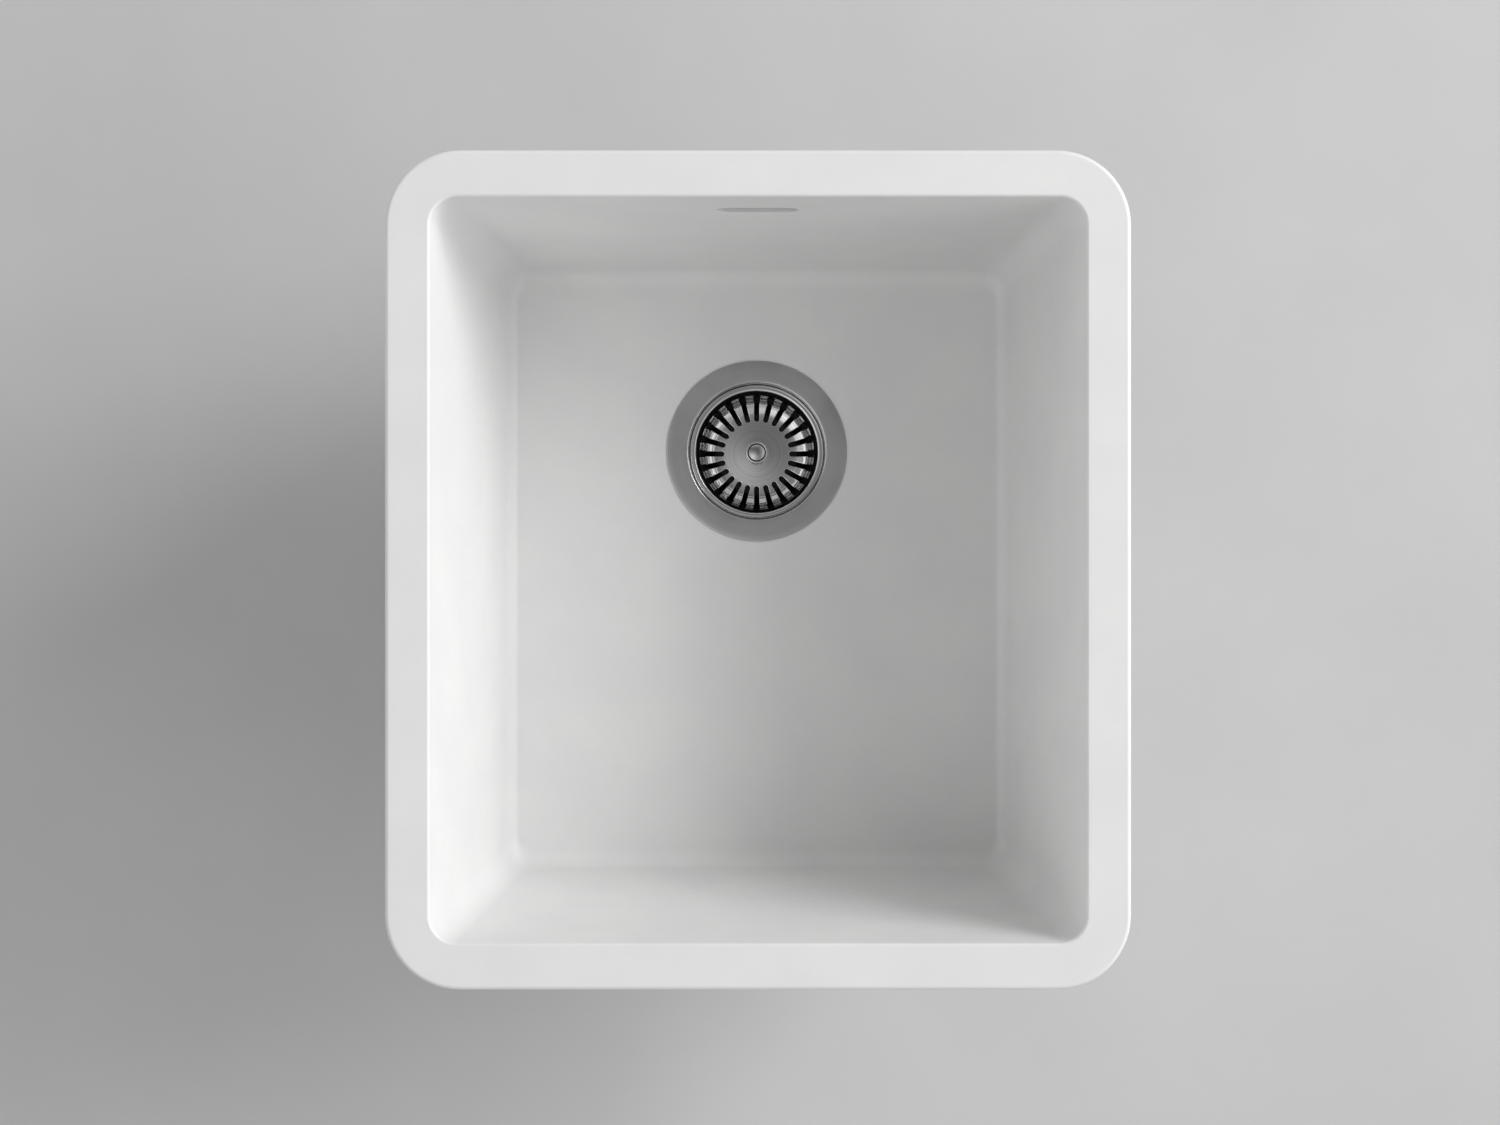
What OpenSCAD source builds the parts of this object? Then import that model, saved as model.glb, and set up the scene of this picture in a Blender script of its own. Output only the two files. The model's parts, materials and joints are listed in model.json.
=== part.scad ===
// A solid surface kitchen sink: a cast bowl with a basket strainer waste and an overflow.
// Millimetres. The origin is the middle of the rim's top face, +Z is up and +Y is the rear.

/* [Rim and bowl] */
// Width of the rim, side to side
outer_w = 400; // [380:1:600]
// Depth of the rim, front to rear
outer_d = 450; // [430:1:600]
// Corner radius of the rim's outline
outer_r = 40; // [25:1:50]
// Width of the rim along the sides
rim_side = 24; // [22:1:34]
// Width of the rim along the front and the rear
rim_end = 25; // [22:1:34]
// Thickness of the rim
rim_t = 12; // [8:1:18]
// Rounding of the rim's outer top edge
rim_round = 2.5; // [0.5:0.5:4]
// Rounding of the mouth's edge
mouth_round = 1.5; // [0.5:0.5:4]
// Corner radius of the mouth
mouth_r = 15; // [14:1:30]
// Depth from the rim's top to the edge of the floor
depth = 190; // [150:1:230]
// How far each side wall leans in from the mouth to the floor fillet
side_lean = 20; // [4:1:26]
// How far the front and rear walls lean in
end_lean = 14; // [4:1:26]
// Run of the floor fillet along the sides
side_fillet = 7; // [3:0.5:12]
// Run of the floor fillet along the front and the rear
end_fillet = 12; // [5:0.5:18]
// Height of the floor fillet
fillet_rise = 12; // [6:0.5:18]
// Fall of the floor from its edge to the waste
floor_fall = 4; // [3:0.5:6]
// Thickness of the walls
wall_t = 8; // [6:0.5:12]
// Thickness of the floor at the waste
floor_t = 8; // [6:0.5:12]
// Fillet between the rim's underside and the walls
under_fillet = 6; // [3:0.5:8]

/* [Waste position and seat] */
// Distance of the waste behind the middle of the bowl
drain_y = 74; // [0:1:80]
// Height of the strainer flange above the floor's low point
flange_stand = 0.5; // [0.2:0.1:1]
// Thickness of the casting below the strainer's seat
seat_t = 12; // [9:0.5:16]
// Radial room between the flange and its seat
seat_clear = 0.3; // [0.3:0.1:1]
// Radial room between the cup and the hole in the floor
hole_clear = 1.3; // [0.8:0.1:2]
// Width of the boss around the hole, on the underside
boss_w = 22; // [16:1:30]

/* [Strainer cup] */
// Thickness of the cup's sheet
steel_t = 1; // [0.8:0.1:1.4]
// Inner radius of the cup's mouth
cup_r = 42.7; // [40:0.1:46]
// Width of the flange outside the mouth
flange_w = 14.3; // [10:0.1:18]
// Rounding between the flange and the mouth
flange_round = 1.5; // [1:0.1:3]
// Width of the ledge that carries the basket
ledge_w = 2.5; // [2:0.1:3.5]
// Corner radius at the cup's bottom
cup_corner = 5; // [3:0.5:6]
// Outlet holes in the cup's bottom
outlet_count = 6; // [3:1:8]
// Thickness of the gasket under the flange
flange_gasket_t = 2; // [1:0.5:3]
// Thickness of the gasket under the sink
body_gasket_t = 3; // [2:0.5:4]
// Thickness of the seal under the cup
cup_seal_t = 2.5; // [2:0.5:4]
// Width of the seal under the cup
cup_seal_w = 6; // [4:0.5:8]

/* [Basket] */
// Thickness of the basket's sheet
basket_t = 0.8; // [0.6:0.1:1]
// Radial room between the basket's rim and the cup
basket_gap = 0.4; // [0.4:0.1:0.8]
// Depth of the basket's rim below the flange
basket_drop = 9; // [6:0.5:12]
// Height of the rim's turned edge
rim_edge = 2; // [1.5:0.1:3]
// Depth of the basket
basket_depth = 26; // [22:0.5:32]
// How far the basket's wall draws in from top to bottom
basket_taper = 4.7; // [2:0.1:6]
// Radial room between the basket's wall and the ledge
wall_gap = 0.8; // [0.5:0.1:1.5]
// Corner radius at the foot of the basket's wall
basket_corner = 4; // [2:0.1:5]
// Radius on which the basket's bottom curves up to that corner
basket_sweep = 14; // [12:0.5:16]
// Height of the domed middle
basket_dome = 0.8; // [0.4:0.1:1]
// Number of slots
slot_count = 24; // [12:1:26]
// Width of a slot
slot_w = 3.3; // [2:0.1:3.6]
// Radius at which the slots begin
slot_in = 20.9; // [19:0.1:24]
// Height of plain wall above the slots
slot_below_rim = 7.3; // [6:0.1:14]

/* [Knob, stem and seal of the basket] */
// Height of the knob above the basket's bottom
knob_h = 19; // [15:0.5:24]
// Radius of the knob
knob_r = 7; // [6:0.1:9]
// Width of the ring around the knob's top
knob_ring = 1.2; // [0.8:0.1:1.6]
// Width of the groove inside that ring
knob_groove = 0.85; // [0.5:0.05:1.2]
// Radius of the stem
stem_r = 2.5; // [2:0.1:3]
// Height of the bell-shaped rubber seal
seal_h = 12; // [10:0.5:15]
// Radius of the seal
seal_r = 33; // [28:0.5:34]
// Thickness of the seal
seal_t = 2; // [1.5:0.1:2.5]

/* [Clamp screw] */
// Radius of the clamp screw
screw_r = 4; // [3.5:0.1:5]
// Wall of the brass insert
insert_wall = 2; // [1.6:0.1:3]
// Length of the brass insert
insert_len = 14; // [10:0.5:16]

/* [Waste body] */
// Wall of the waste body
body_t = 2.5; // [2:0.1:4]
// Width of the body's clamping flange outside the hole in the floor
body_flange_w = 10; // [8:0.5:14]
// Outer radius of the outlet
outlet_r = 23.9; // [20:0.1:25]
// Wall of the outlet
outlet_t = 3.4; // [2.5:0.1:4]
// Length of the outlet
outlet_len = 35; // [25:1:50]
// Length of the overflow inlet outside the body
inlet_free = 20.5; // [16:0.5:30]

/* [Overflow] */
// Width of the overflow slot in the rear wall
over_w = 45; // [30:1:50]
// Height of the overflow slot
over_h = 12; // [8:0.5:14]
// Depth of the slot's middle below the rim
over_drop = 32; // [30:0.5:40]
// Room around the slot inside the box
window_room = 3.5; // [2:0.5:6]
// Height of the overflow box
box_h = 39; // [36:1:46]
// Wall of the overflow box
box_t = 2; // [1.5:0.1:3]
// Thickness of the box's gasket
box_gasket_t = 1.5; // [1:0.1:2.5]
// How far the gasket shows inside the box's wall
gasket_lip = 1.5; // [1:0.1:2.5]
// Outer radius of the overflow pipe
pipe_r = 9; // [8:0.1:11]
// Wall of the overflow pipe
pipe_t = 1.4; // [1:0.1:1.8]
// Bend radius of the overflow pipe
pipe_bend = 35; // [25:1:38]
// Radius of the screws that hold the box
box_screw_r = 2; // [1.5:0.1:2.5]
// Depth of their brass inserts in the rear wall
insert_depth = 7; // [5:0.5:7.5]

/* [Hidden] */
$fn = 96;

fit = 0.05;        // radial room of a sliding or screwed fit
soft_gap = 0.3;    // room between the basket's seal and the cup
corner_steps = 12; // facets round each corner of the bowl
cut = 1;           // how far a cutter runs past what it cuts

// The bowl
mouth_w = outer_w - 2 * rim_side;
mouth_d = outer_d - 2 * rim_end;
wall_foot = -(depth - fillet_rise);
floor_low = -(depth + floor_fall);
flange_z = floor_low + flange_stand;

// The strainer, in heights below the top of its flange
flange_r = cup_r + flange_w;
hole_r = cup_r + steel_t + hole_clear;
seat_z = -(steel_t + flange_gasket_t);
boss_z = seat_z - seat_t;
ledge_r = cup_r - ledge_w;
ledge_z = -(basket_drop + rim_edge);
basket_z = -(basket_drop + basket_depth);
dome_z = basket_z + basket_dome;
under_z = dome_z - basket_t;
washer_t = 3;
seal_z = under_z - washer_t;
cup_z = seal_z - seal_h;
cup_flat_r = ledge_r - cup_corner;

// The basket
basket_rim_r = cup_r - basket_gap;
basket_top_r = ledge_r - wall_gap - basket_t;
corner_slope = 29;         // where the bottom's curve meets the corner
corner_x = basket_top_r - basket_taper - basket_corner;
trough_r = corner_x - (basket_sweep - basket_corner) * sin(corner_slope);
corner_z = basket_z + basket_sweep - (basket_sweep - basket_corner) * cos(corner_slope);
middle_r = 7.5;            // the flat middle that the knob stands on
rim_roll = rim_edge - 0.4; // rounding of the rim's outer edge
knob_z = basket_z + knob_h;
knob_floor = knob_z - 3;
cap_r = knob_r - knob_ring - knob_groove;

// The clamp screw and the stem's catch
insert_r = screw_r + insert_wall;
clip_t = 1.2;
head_room = 2;
head_h = seal_h - seal_t - clip_t - head_room;
head_r = 7.5;
socket_r = stem_r + 0.7;
tip_r = stem_r - 0.2;
tip_z = cup_z - 0.5;
catch_z = cup_z + head_h - 2.6;

// The waste body
body_top = boss_z - body_gasket_t;
body_flange_r = hole_r + body_flange_w;
body_in = ledge_r + steel_t + 1.8;
inlet_reach = body_in + body_t + inlet_free;
body_floor = cup_z - steel_t - cup_seal_t;
chamber_r = cup_flat_r - cup_seal_w - 3.2;
hub_z = body_floor - 2.5;
inlet_r = pipe_r + fit + 2.5;
inlet_z = body_floor - 3 - inlet_r - 1;
chamber_z = inlet_z - inlet_r - 1;
cone_h = 6.5;
body_z = chamber_z - cone_h - outlet_len;

// The overflow
pad_y = mouth_d / 2 + wall_t;
box_y = pad_y + box_gasket_t;
box_frame = box_t + gasket_lip;
box_w = over_w + 2 * (window_room + box_frame);
box_top = -max(over_drop - over_h / 2 - window_room - box_frame, rim_t + under_fillet + 1);
box_low = box_top - box_h;
pipe_in = pipe_r - pipe_t;
spigot_r = pipe_in - 0.1;
spigot_t = 1.5;
bore_r = spigot_r - spigot_t;
spigot_y = box_y + bore_r;
box_d = 2 * bore_r + box_t;
spigot_len = 16;
ear_x = box_w / 2 + 9;
ear_r = 7;
ear_z = (box_top + box_low) / 2;
pipe_top = box_low - 0.3;
pipe_low = flange_z + inlet_z;
elbow_y = spigot_y - pipe_bend;
elbow_z = pipe_low + pipe_bend;
mouth_y = drain_y + inlet_reach;
socket_depth = 14;
nut_t = 3;
ring_t = 3;

// A point list on an arc, from angle a to angle b
function arc(c, r, a, b, n = 5) =
  [for (i = [0:n]) let (t = a + (b - a) * i / n) c + r * [cos(t), sin(t)]];

// The unit vector to the left of the way from p to q
function left(p, q) = let (d = q - p) [-d[1], d[0]] / norm(d);

// The path moved to its left by t, with mitred corners
function beside(path, t) = [
  for (i = [0:len(path) - 1])
    let (
      a = left(path[max(i - 1, 0)], path[max(i, 1)]),
      b = left(path[min(i, len(path) - 2)], path[min(i + 1, len(path) - 1)])
    )
    path[i] + t * (a + b) / (1 + a * b)
];

// The outline of a sheet of thickness t whose visible side is the path
function sheet(path, t) =
  let (back = beside(path, t))
  concat(path, [for (i = [len(back) - 1:-1:0]) back[i]]);

// A rounded rectangle of points at height z, from its half sizes and corner radius
function ring(x, y, r, z) = [
  for (c = [0:3], i = [0:corner_steps])
    let (
      a = 90 * (c + i / corner_steps),
      sx = c == 0 || c == 3 ? 1 : -1,
      sy = c < 2 ? 1 : -1
    )
    [sx * (x - r) + r * cos(a), sy * (y - r) + r * sin(a), z]
];

// Half width and half depth of the cavity at height z on the leaning walls
function side_at(z) = mouth_w / 2 + side_lean * z / -wall_foot;
function end_at(z) = mouth_d / 2 + end_lean * z / -wall_foot;

// A solid through rings of points, from the top one down, closed flat or to a tip
module loft(rings, tip = undef) {
  n = len(rings[0]);
  last = (len(rings) - 1) * n;
  points = [for (r = rings, p = r) p];
  top = [[for (i = [n - 1:-1:0]) i]];
  sides = [
    for (k = [0:n:last - n], i = [0:n - 1])
      let (j = (i + 1) % n)
      each [[k + i, k + j, k + n + j], [k + i, k + n + j, k + n + i]]
  ];
  flat_end = [[for (i = [0:n - 1]) last + i]];
  tip_end = [for (i = [0:n - 1]) [last + i, last + (i + 1) % n, len(points)]];
  if (is_undef(tip)) {
    polyhedron(points, concat(top, sides, flat_end));
  } else {
    polyhedron(concat(points, [tip]), concat(top, sides, tip_end));
  }
}

// The bowl's outside: rounded rim, fillet under it, leaning walls, rounded foot
module bowl_outside() {
  edge = [
    for (a = [0:30:90])
      let (s = rim_round * (1 - sin(a)))
      ring(outer_w / 2 - s, outer_d / 2 - s, outer_r - s, -rim_round * (1 - cos(a)))
  ];
  rim = [
    ring(outer_w / 2, outer_d / 2, outer_r, 1 - rim_t),
    ring(outer_w / 2 - 1, outer_d / 2 - 1, outer_r - 1, -rim_t)
  ];
  fillet = [
    for (a = [0:22.5:90])
      let (z = -rim_t - under_fillet * (1 - cos(a)), s = wall_t + under_fillet * (1 - sin(a)))
      ring(side_at(z) + s, end_at(z) + s, mouth_r + s, z)
  ];
  foot_h = fillet_rise + floor_fall + floor_t;
  foot = [
    for (a = [0:15:90])
      let (c = 1 - cos(a))
      ring(
        side_at(wall_foot) + wall_t - (side_fillet + wall_t) * c,
        end_at(wall_foot) + wall_t - (end_fillet + wall_t) * c,
        mouth_r + wall_t - (side_fillet + wall_t) * c,
        wall_foot - foot_h * sin(a)
      )
  ];
  loft(concat(edge, rim, fillet, foot));
}

// The cavity: rounded mouth, leaning walls, floor fillet, four planes falling to the waste
module bowl_cavity() {
  mouth = [
    for (a = [0:30:90])
      let (s = mouth_round * (1 - sin(a)), z = -mouth_round * (1 - cos(a)))
      ring(side_at(z) + s, end_at(z) + s, mouth_r + s, z)
  ];
  above = ring(side_at(0) + mouth_round, end_at(0) + mouth_round, mouth_r + mouth_round, cut);
  fillet = [
    for (a = [0:15:90])
      let (c = 1 - cos(a))
      ring(
        side_at(wall_foot) - side_fillet * c,
        end_at(wall_foot) - end_fillet * c,
        mouth_r - side_fillet * c,
        wall_foot - fillet_rise * sin(a)
      )
  ];
  loft(concat([above], mouth, fillet), tip = [0, drain_y, floor_low]);
}

// Puts things on the waste's axis, with height 0 at the top of the strainer's flange
module at_drain() {
  translate([0, drain_y, flange_z]) children();
}

// A ring or disc between two heights on the Z axis
module washer(r_out, r_in, z_low, z_top) {
  translate([0, 0, z_low]) linear_extrude(z_top - z_low) difference() {
    circle(r_out);
    circle(r_in);
  }
}

// A flat shape drawn in X and Z, made t thick from y to the rear
module plate_y(y, t) {
  translate([0, y + t, 0]) rotate([90, 0, 0]) linear_extrude(t) children();
}

// A flat rectangle with round corners, centred
module rounded(w, h, r) {
  square([w, h - 2 * r], center = true);
  square([w - 2 * r, h], center = true);
  for (x = [-1, 1], y = [-1, 1]) translate([x * (w / 2 - r), y * (h / 2 - r)]) circle(r);
}

// A round bar along +Y from the point p
module bar_y(p, r, h) {
  translate(p) rotate([-90, 0, 0]) cylinder(r = r, h = h);
}

// Puts a thing at both screws of the overflow box
module at_ears() {
  for (x = [-ear_x, ear_x]) translate([x, 0, ear_z]) children();
}

// The outline of the overflow box with its two ears
module box_outline(grow = 0) {
  translate([0, ear_z]) rounded(box_w + 2 * grow, box_h + 2 * grow, 5 + grow);
  for (x = [-ear_x, ear_x]) translate([x, ear_z]) circle(ear_r + grow);
  translate([0, ear_z]) square([2 * ear_x, 2 * (ear_r + grow) - 2], center = true);
}

module bowl() {
  color("whitesmoke") difference() {
    union() {
      bowl_outside();
      plate_y(pad_y - wall_t, wall_t) translate([0, ear_z]) {
        rounded(2 * (ear_x + ear_r) + 4, box_h, 6);
        translate([0, 8]) square([2 * (ear_x + ear_r) + 4, box_h - 8], center = true);
      }
      at_drain() translate([0, 0, boss_z])
        cylinder(r1 = hole_r + boss_w, r2 = hole_r + boss_w + 4, h = seat_t);
    }
    bowl_cavity();
    at_drain() {
      translate([0, 0, seat_z]) cylinder(r = flange_r + seat_clear, h = floor_fall + cut - seat_z);
      translate([0, 0, boss_z - cut]) cylinder(r = hole_r, h = seat_t + 2 * cut);
    }
    translate([0, 0, -over_drop]) plate_y(mouth_d / 2 - end_lean, end_lean + wall_t + cut)
      rounded(over_w, over_h, over_h / 2 - 0.01);
    at_ears() bar_y([0, pad_y - insert_depth, 0], box_screw_r + 1 + fit, insert_depth + cut);
  }
}

module strainer_cup() {
  edge_z = seat_z + 0.3;
  face = concat(
    [[flange_r, edge_z]],
    arc([flange_r - 1.2, -1.2], 1.2, 0, 90, 3),
    arc([cup_r + flange_round, -flange_round], flange_round, 90, 180),
    [[cup_r, ledge_z], [ledge_r, ledge_z]],
    arc([cup_flat_r, cup_z + cup_corner], cup_corner, 0, -90),
    [[screw_r + 0.4, cup_z]]
  );
  hole_out = chamber_r - 5;
  hole_in = head_r + 1.5;
  span = 360 / outlet_count - 14;
  color("silver") at_drain() difference() {
    rotate_extrude() polygon(sheet(face, steel_t));
    for (i = [0:outlet_count - 1]) rotate(i * 360 / outlet_count)
      translate([0, 0, cup_z - steel_t - cut]) rotate_extrude(angle = span)
        translate([hole_in, 0]) square([hole_out - hole_in, steel_t + 2 * cut]);
  }
}

module flange_gasket() {
  color("dimgray") at_drain() washer(flange_r - 2.5, hole_r + 1.5, seat_z, -steel_t);
}

module body_gasket() {
  color("dimgray") at_drain() washer(body_flange_r, hole_r + 1, body_top, boss_z);
}

module cup_seal() {
  color("dimgray") at_drain()
    washer(chamber_r + 3 + cup_seal_w, chamber_r + 3, body_floor, cup_z - steel_t);
}

module waste_body() {
  flange_t = 4;
  shell = [
    [0, body_top], [body_flange_r, body_top], [body_flange_r, body_top - flange_t],
    [body_in + body_t, body_top - flange_t], [body_in + body_t, body_floor - 1],
    [body_in + body_t - 2, body_floor - 3], [chamber_r + body_t, body_floor - 3],
    [chamber_r + body_t, chamber_z], [outlet_r, chamber_z - cone_h],
    [outlet_r, body_z], [0, body_z]
  ];
  inside = [
    [0, body_top + cut], [body_in, body_top + cut], [body_in, body_floor],
    [chamber_r, body_floor], [chamber_r, chamber_z + 2],
    [outlet_r - outlet_t, chamber_z - cone_h + 2], [outlet_r - outlet_t, body_z - cut],
    [0, body_z - cut]
  ];
  gusset = [
    [body_in + 1, body_top - flange_t + 1], [body_flange_r - 1, body_top - flange_t + 1],
    [body_flange_r - 1, body_top - flange_t - 1], [body_in + body_t, body_floor + 6],
    [body_in + 1, body_floor + 6]
  ];
  color("gainsboro") at_drain() {
    difference() {
      union() {
        rotate_extrude() polygon(shell);
        bar_y([0, 0, inlet_z], inlet_r, inlet_reach);
        for (i = [0:11]) rotate(30 * i + 15) translate([0, 1, 0]) rotate([90, 0, 0])
          linear_extrude(2) polygon(gusset);
      }
      rotate_extrude() polygon(inside);
      bar_y([0, chamber_r - 3, inlet_z], pipe_in, inlet_reach);
      bar_y([0, inlet_reach - socket_depth, inlet_z], pipe_r + fit, socket_depth + cut);
    }
    difference() {
      union() {
        translate([0, 0, hub_z - insert_len]) cylinder(r = insert_r + 2, h = insert_len);
        for (a = [30, 150, 270]) rotate(a) translate([0, -1.25, hub_z - insert_len + 1])
          cube([chamber_r + 1, 2.5, insert_len - 2]);
      }
      translate([0, 0, hub_z - insert_len - cut]) cylinder(r = insert_r + fit, h = insert_len + 2 * cut);
    }
  }
}

module screw_insert() {
  color("goldenrod") at_drain() {
    washer(insert_r, screw_r + fit, hub_z - insert_len, hub_z);
    washer(insert_r + 1.5, screw_r + fit, hub_z - insert_len - 1, hub_z - insert_len);
  }
}

module clamp_screw() {
  color("silver") at_drain() difference() {
    union() {
      translate([0, 0, cup_z]) cylinder(r = head_r, h = head_h, $fn = 6);
      translate([0, 0, hub_z - insert_len]) cylinder(r = screw_r, h = cup_z - hub_z + insert_len);
    }
    translate([0, 0, tip_z - 0.5]) cylinder(r = socket_r, h = head_h + 2);
    translate([0, 0, catch_z]) cylinder(r = socket_r + 1, h = 1.4);
  }
}

module catch_spring() {
  color("gray") at_drain() translate([0, 0, catch_z + 0.1]) rotate_extrude(angle = 300)
    translate([tip_r + 0.4, 0]) square([socket_r + 0.9 - tip_r - 0.4, 1.2]);
}

module basket_slot() {
  top = -basket_drop - slot_below_rim - slot_w / 2;
  low = basket_z - 2 * basket_t;
  reach = basket_rim_r - slot_in;
  translate([slot_in + slot_w / 2, 0, low]) {
    cylinder(d = slot_w, h = top - low, $fn = 32);
    translate([0, -slot_w / 2, 0]) cube([reach, slot_w, top - low]);
  }
  translate([trough_r, 0, top]) rotate([0, 90, 0])
    cylinder(d = slot_w, h = basket_rim_r - trough_r, $fn = 32);
}

module basket() {
  lean = atan(basket_taper / (-basket_drop - 1 - corner_z));
  // the second arc starts a degree on, so that no point comes twice
  face = concat(
    [[basket_rim_r, ledge_z]],
    arc([basket_rim_r - rim_roll, -basket_drop - rim_roll], rim_roll, 0, 90),
    arc([basket_top_r + 1, -basket_drop - 1], 1, 90, 180, 3),
    arc([corner_x, corner_z], basket_corner, -lean, corner_slope - 90),
    arc([trough_r, basket_z + basket_sweep], basket_sweep, corner_slope - 91, -90),
    [[slot_in + 1, basket_z], [middle_r, dome_z], [stem_r + fit, dome_z]]
  );
  color("silver") at_drain() difference() {
    rotate_extrude() polygon(sheet(face, basket_t));
    for (i = [0:slot_count - 1]) rotate(i * 360 / slot_count) basket_slot();
  }
}

module basket_knob() {
  foot_z = dome_z;
  profile = concat(
    [[stem_r + fit, foot_z], [6, foot_z], [6, foot_z + 1]],
    arc([6.4, foot_z + 3.6], 2.6, 270, 180, 4),
    [[3.8, knob_z - 8], [knob_r - 0.4, knob_z - 3.6], [knob_r, knob_z - 2.8]],
    arc([knob_r - 0.6, knob_z - 0.8], 0.6, 0, 90, 3),
    [[knob_r - knob_ring, knob_z - 0.2], [knob_r - knob_ring, knob_floor]],
    [[stem_r + fit, knob_floor]]
  );
  color("silver") at_drain() rotate_extrude() polygon(profile);
}

module knob_cap() {
  dome = 0.9;
  dome_r = (cap_r * cap_r + dome * dome) / (2 * dome);
  half = asin(cap_r / dome_r);
  profile = concat(
    [[0, knob_floor], [cap_r, knob_floor]],
    arc([0, knob_z - dome_r], dome_r, 90 - half, 90, 6)
  );
  color("silver") at_drain() rotate_extrude() polygon(profile);
}

module basket_stem() {
  groove_top = seal_z - seal_t - 0.1;
  profile = [
    [0, knob_floor - 0.2], [stem_r, knob_floor - 0.2], [stem_r, groove_top],
    [stem_r - 0.7, groove_top], [stem_r - 0.7, groove_top - clip_t + 0.2],
    [tip_r, groove_top - clip_t + 0.2], [tip_r, catch_z + 1.6], [tip_r - 0.5, catch_z + 1.1],
    [tip_r - 0.5, catch_z + 0.5], [tip_r, catch_z], [tip_r, tip_z + 1], [tip_r - 1, tip_z],
    [0, tip_z]
  ];
  color("silver") at_drain() rotate_extrude() polygon(profile);
}

module seal_washer() {
  color("silver") at_drain() washer(middle_r - 1, stem_r + fit, seal_z, under_z);
}

module basket_seal() {
  lip_z = cup_z + soft_gap;
  face = [
    [seal_r, lip_z], [seal_r, lip_z + 1.5], [seal_r - 0.8, lip_z + 4], [seal_r - 4, seal_z - 3.5],
    [seal_r - 7, seal_z - 0.8], [seal_r - 10, seal_z], [stem_r + fit, seal_z]
  ];
  color("dimgray") at_drain() rotate_extrude() polygon(sheet(face, seal_t));
}

module stem_clip() {
  color("gray") at_drain() translate([0, 0, seal_z - seal_t - clip_t + 0.2])
    rotate_extrude(angle = 290) translate([stem_r - 0.65, 0]) square([2.8, clip_t - 0.4]);
}

module overflow_box() {
  color("gainsboro") difference() {
    union() {
      plate_y(box_y, box_d) translate([0, ear_z]) rounded(box_w, box_h, 5);
      plate_y(box_y, 3) box_outline();
      translate([0, spigot_y, box_low - spigot_len]) cylinder(r = spigot_r, h = spigot_len);
    }
    plate_y(box_y - cut, box_d - box_t + cut) translate([0, ear_z])
      rounded(box_w - 2 * box_t, box_h - 2 * box_t, 3);
    translate([0, spigot_y, box_low - spigot_len - cut]) cylinder(r = bore_r, h = spigot_len + box_t + 2 * cut);
    translate([0, spigot_y, 0]) washer(spigot_r + cut, spigot_r - 0.8, box_low - 8, box_low - 6.8);
    at_ears() bar_y([0, box_y - cut, 0], box_screw_r + 0.3, 6);
  }
}

module overflow_gasket() {
  color("dimgray") plate_y(pad_y, box_gasket_t) difference() {
    box_outline();
    translate([0, ear_z]) rounded(box_w - 2 * box_frame, box_h - 2 * box_frame, 3);
    for (x = [-ear_x, ear_x]) translate([x, ear_z]) circle(box_screw_r + 0.3);
  }
}

module overflow_inserts() {
  color("goldenrod") at_ears() difference() {
    bar_y([0, pad_y - insert_depth, 0], box_screw_r + 1, insert_depth);
    bar_y([0, pad_y - insert_depth - cut, 0], box_screw_r + fit, insert_depth + 2 * cut);
  }
}

module overflow_screws() {
  head_y = box_y + 3;
  color("silver") at_ears() difference() {
    union() {
      bar_y([0, pad_y - insert_depth + 1, 0], box_screw_r, head_y - pad_y + insert_depth - 1);
      bar_y([0, head_y, 0], 2 * box_screw_r, 1.2 * box_screw_r);
    }
    translate([0, head_y + 1.2 * box_screw_r, 0]) cube([0.5 * box_screw_r, 2, 3 * box_screw_r], center = true);
    translate([0, head_y + 1.2 * box_screw_r, 0]) cube([3 * box_screw_r, 2, 0.5 * box_screw_r], center = true);
  }
}

// The pipe's path with a bar of radius r on it, its open ends run on by past
module pipe_core(r, past) {
  low_y = mouth_y - socket_depth + 0.5;
  translate([0, spigot_y, elbow_z]) cylinder(r = r, h = pipe_top - elbow_z + past);
  translate([0, elbow_y, elbow_z]) rotate([0, 90, 0]) rotate_extrude(angle = 90)
    translate([pipe_bend, 0]) circle(r);
  bar_y([0, low_y - past, pipe_low], r, elbow_y - low_y + past);
}

module overflow_pipe() {
  color("gainsboro") difference() {
    pipe_core(pipe_r, 0);
    pipe_core(pipe_in, cut);
  }
}

module pipe_oring() {
  color("dimgray") translate([0, spigot_y, box_low - 7.4]) rotate_extrude()
    translate([spigot_r - 0.35, 0]) circle(0.4, $fn = 32);
}

module pipe_seal() {
  color("dimgray") difference() {
    bar_y([0, mouth_y, pipe_low], inlet_r - 0.2, ring_t);
    bar_y([0, mouth_y - cut, pipe_low], pipe_r + fit, ring_t + 2 * cut);
  }
}

module pipe_nut() {
  back = 13;
  color("gainsboro") difference() {
    union() {
      bar_y([0, mouth_y - back, pipe_low], inlet_r + fit + 2, back + ring_t + nut_t);
      for (a = [0:30:330]) translate([0, mouth_y - back, pipe_low]) rotate([0, a, 0])
        translate([inlet_r + 1, 0, -1]) cube([2.6, back + ring_t, 2]);
    }
    bar_y([0, mouth_y - back - cut, pipe_low], inlet_r + fit, back + ring_t + cut);
    bar_y([0, mouth_y, pipe_low], pipe_r + 0.2, ring_t + nut_t + cut);
  }
}

bowl();
strainer_cup();
flange_gasket();
body_gasket();
cup_seal();
waste_body();
screw_insert();
clamp_screw();
catch_spring();
basket();
basket_knob();
knob_cap();
basket_stem();
seal_washer();
basket_seal();
stem_clip();
overflow_box();
overflow_gasket();
overflow_inserts();
overflow_screws();
overflow_pipe();
pipe_oring();
pipe_nut();
pipe_seal();
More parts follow.
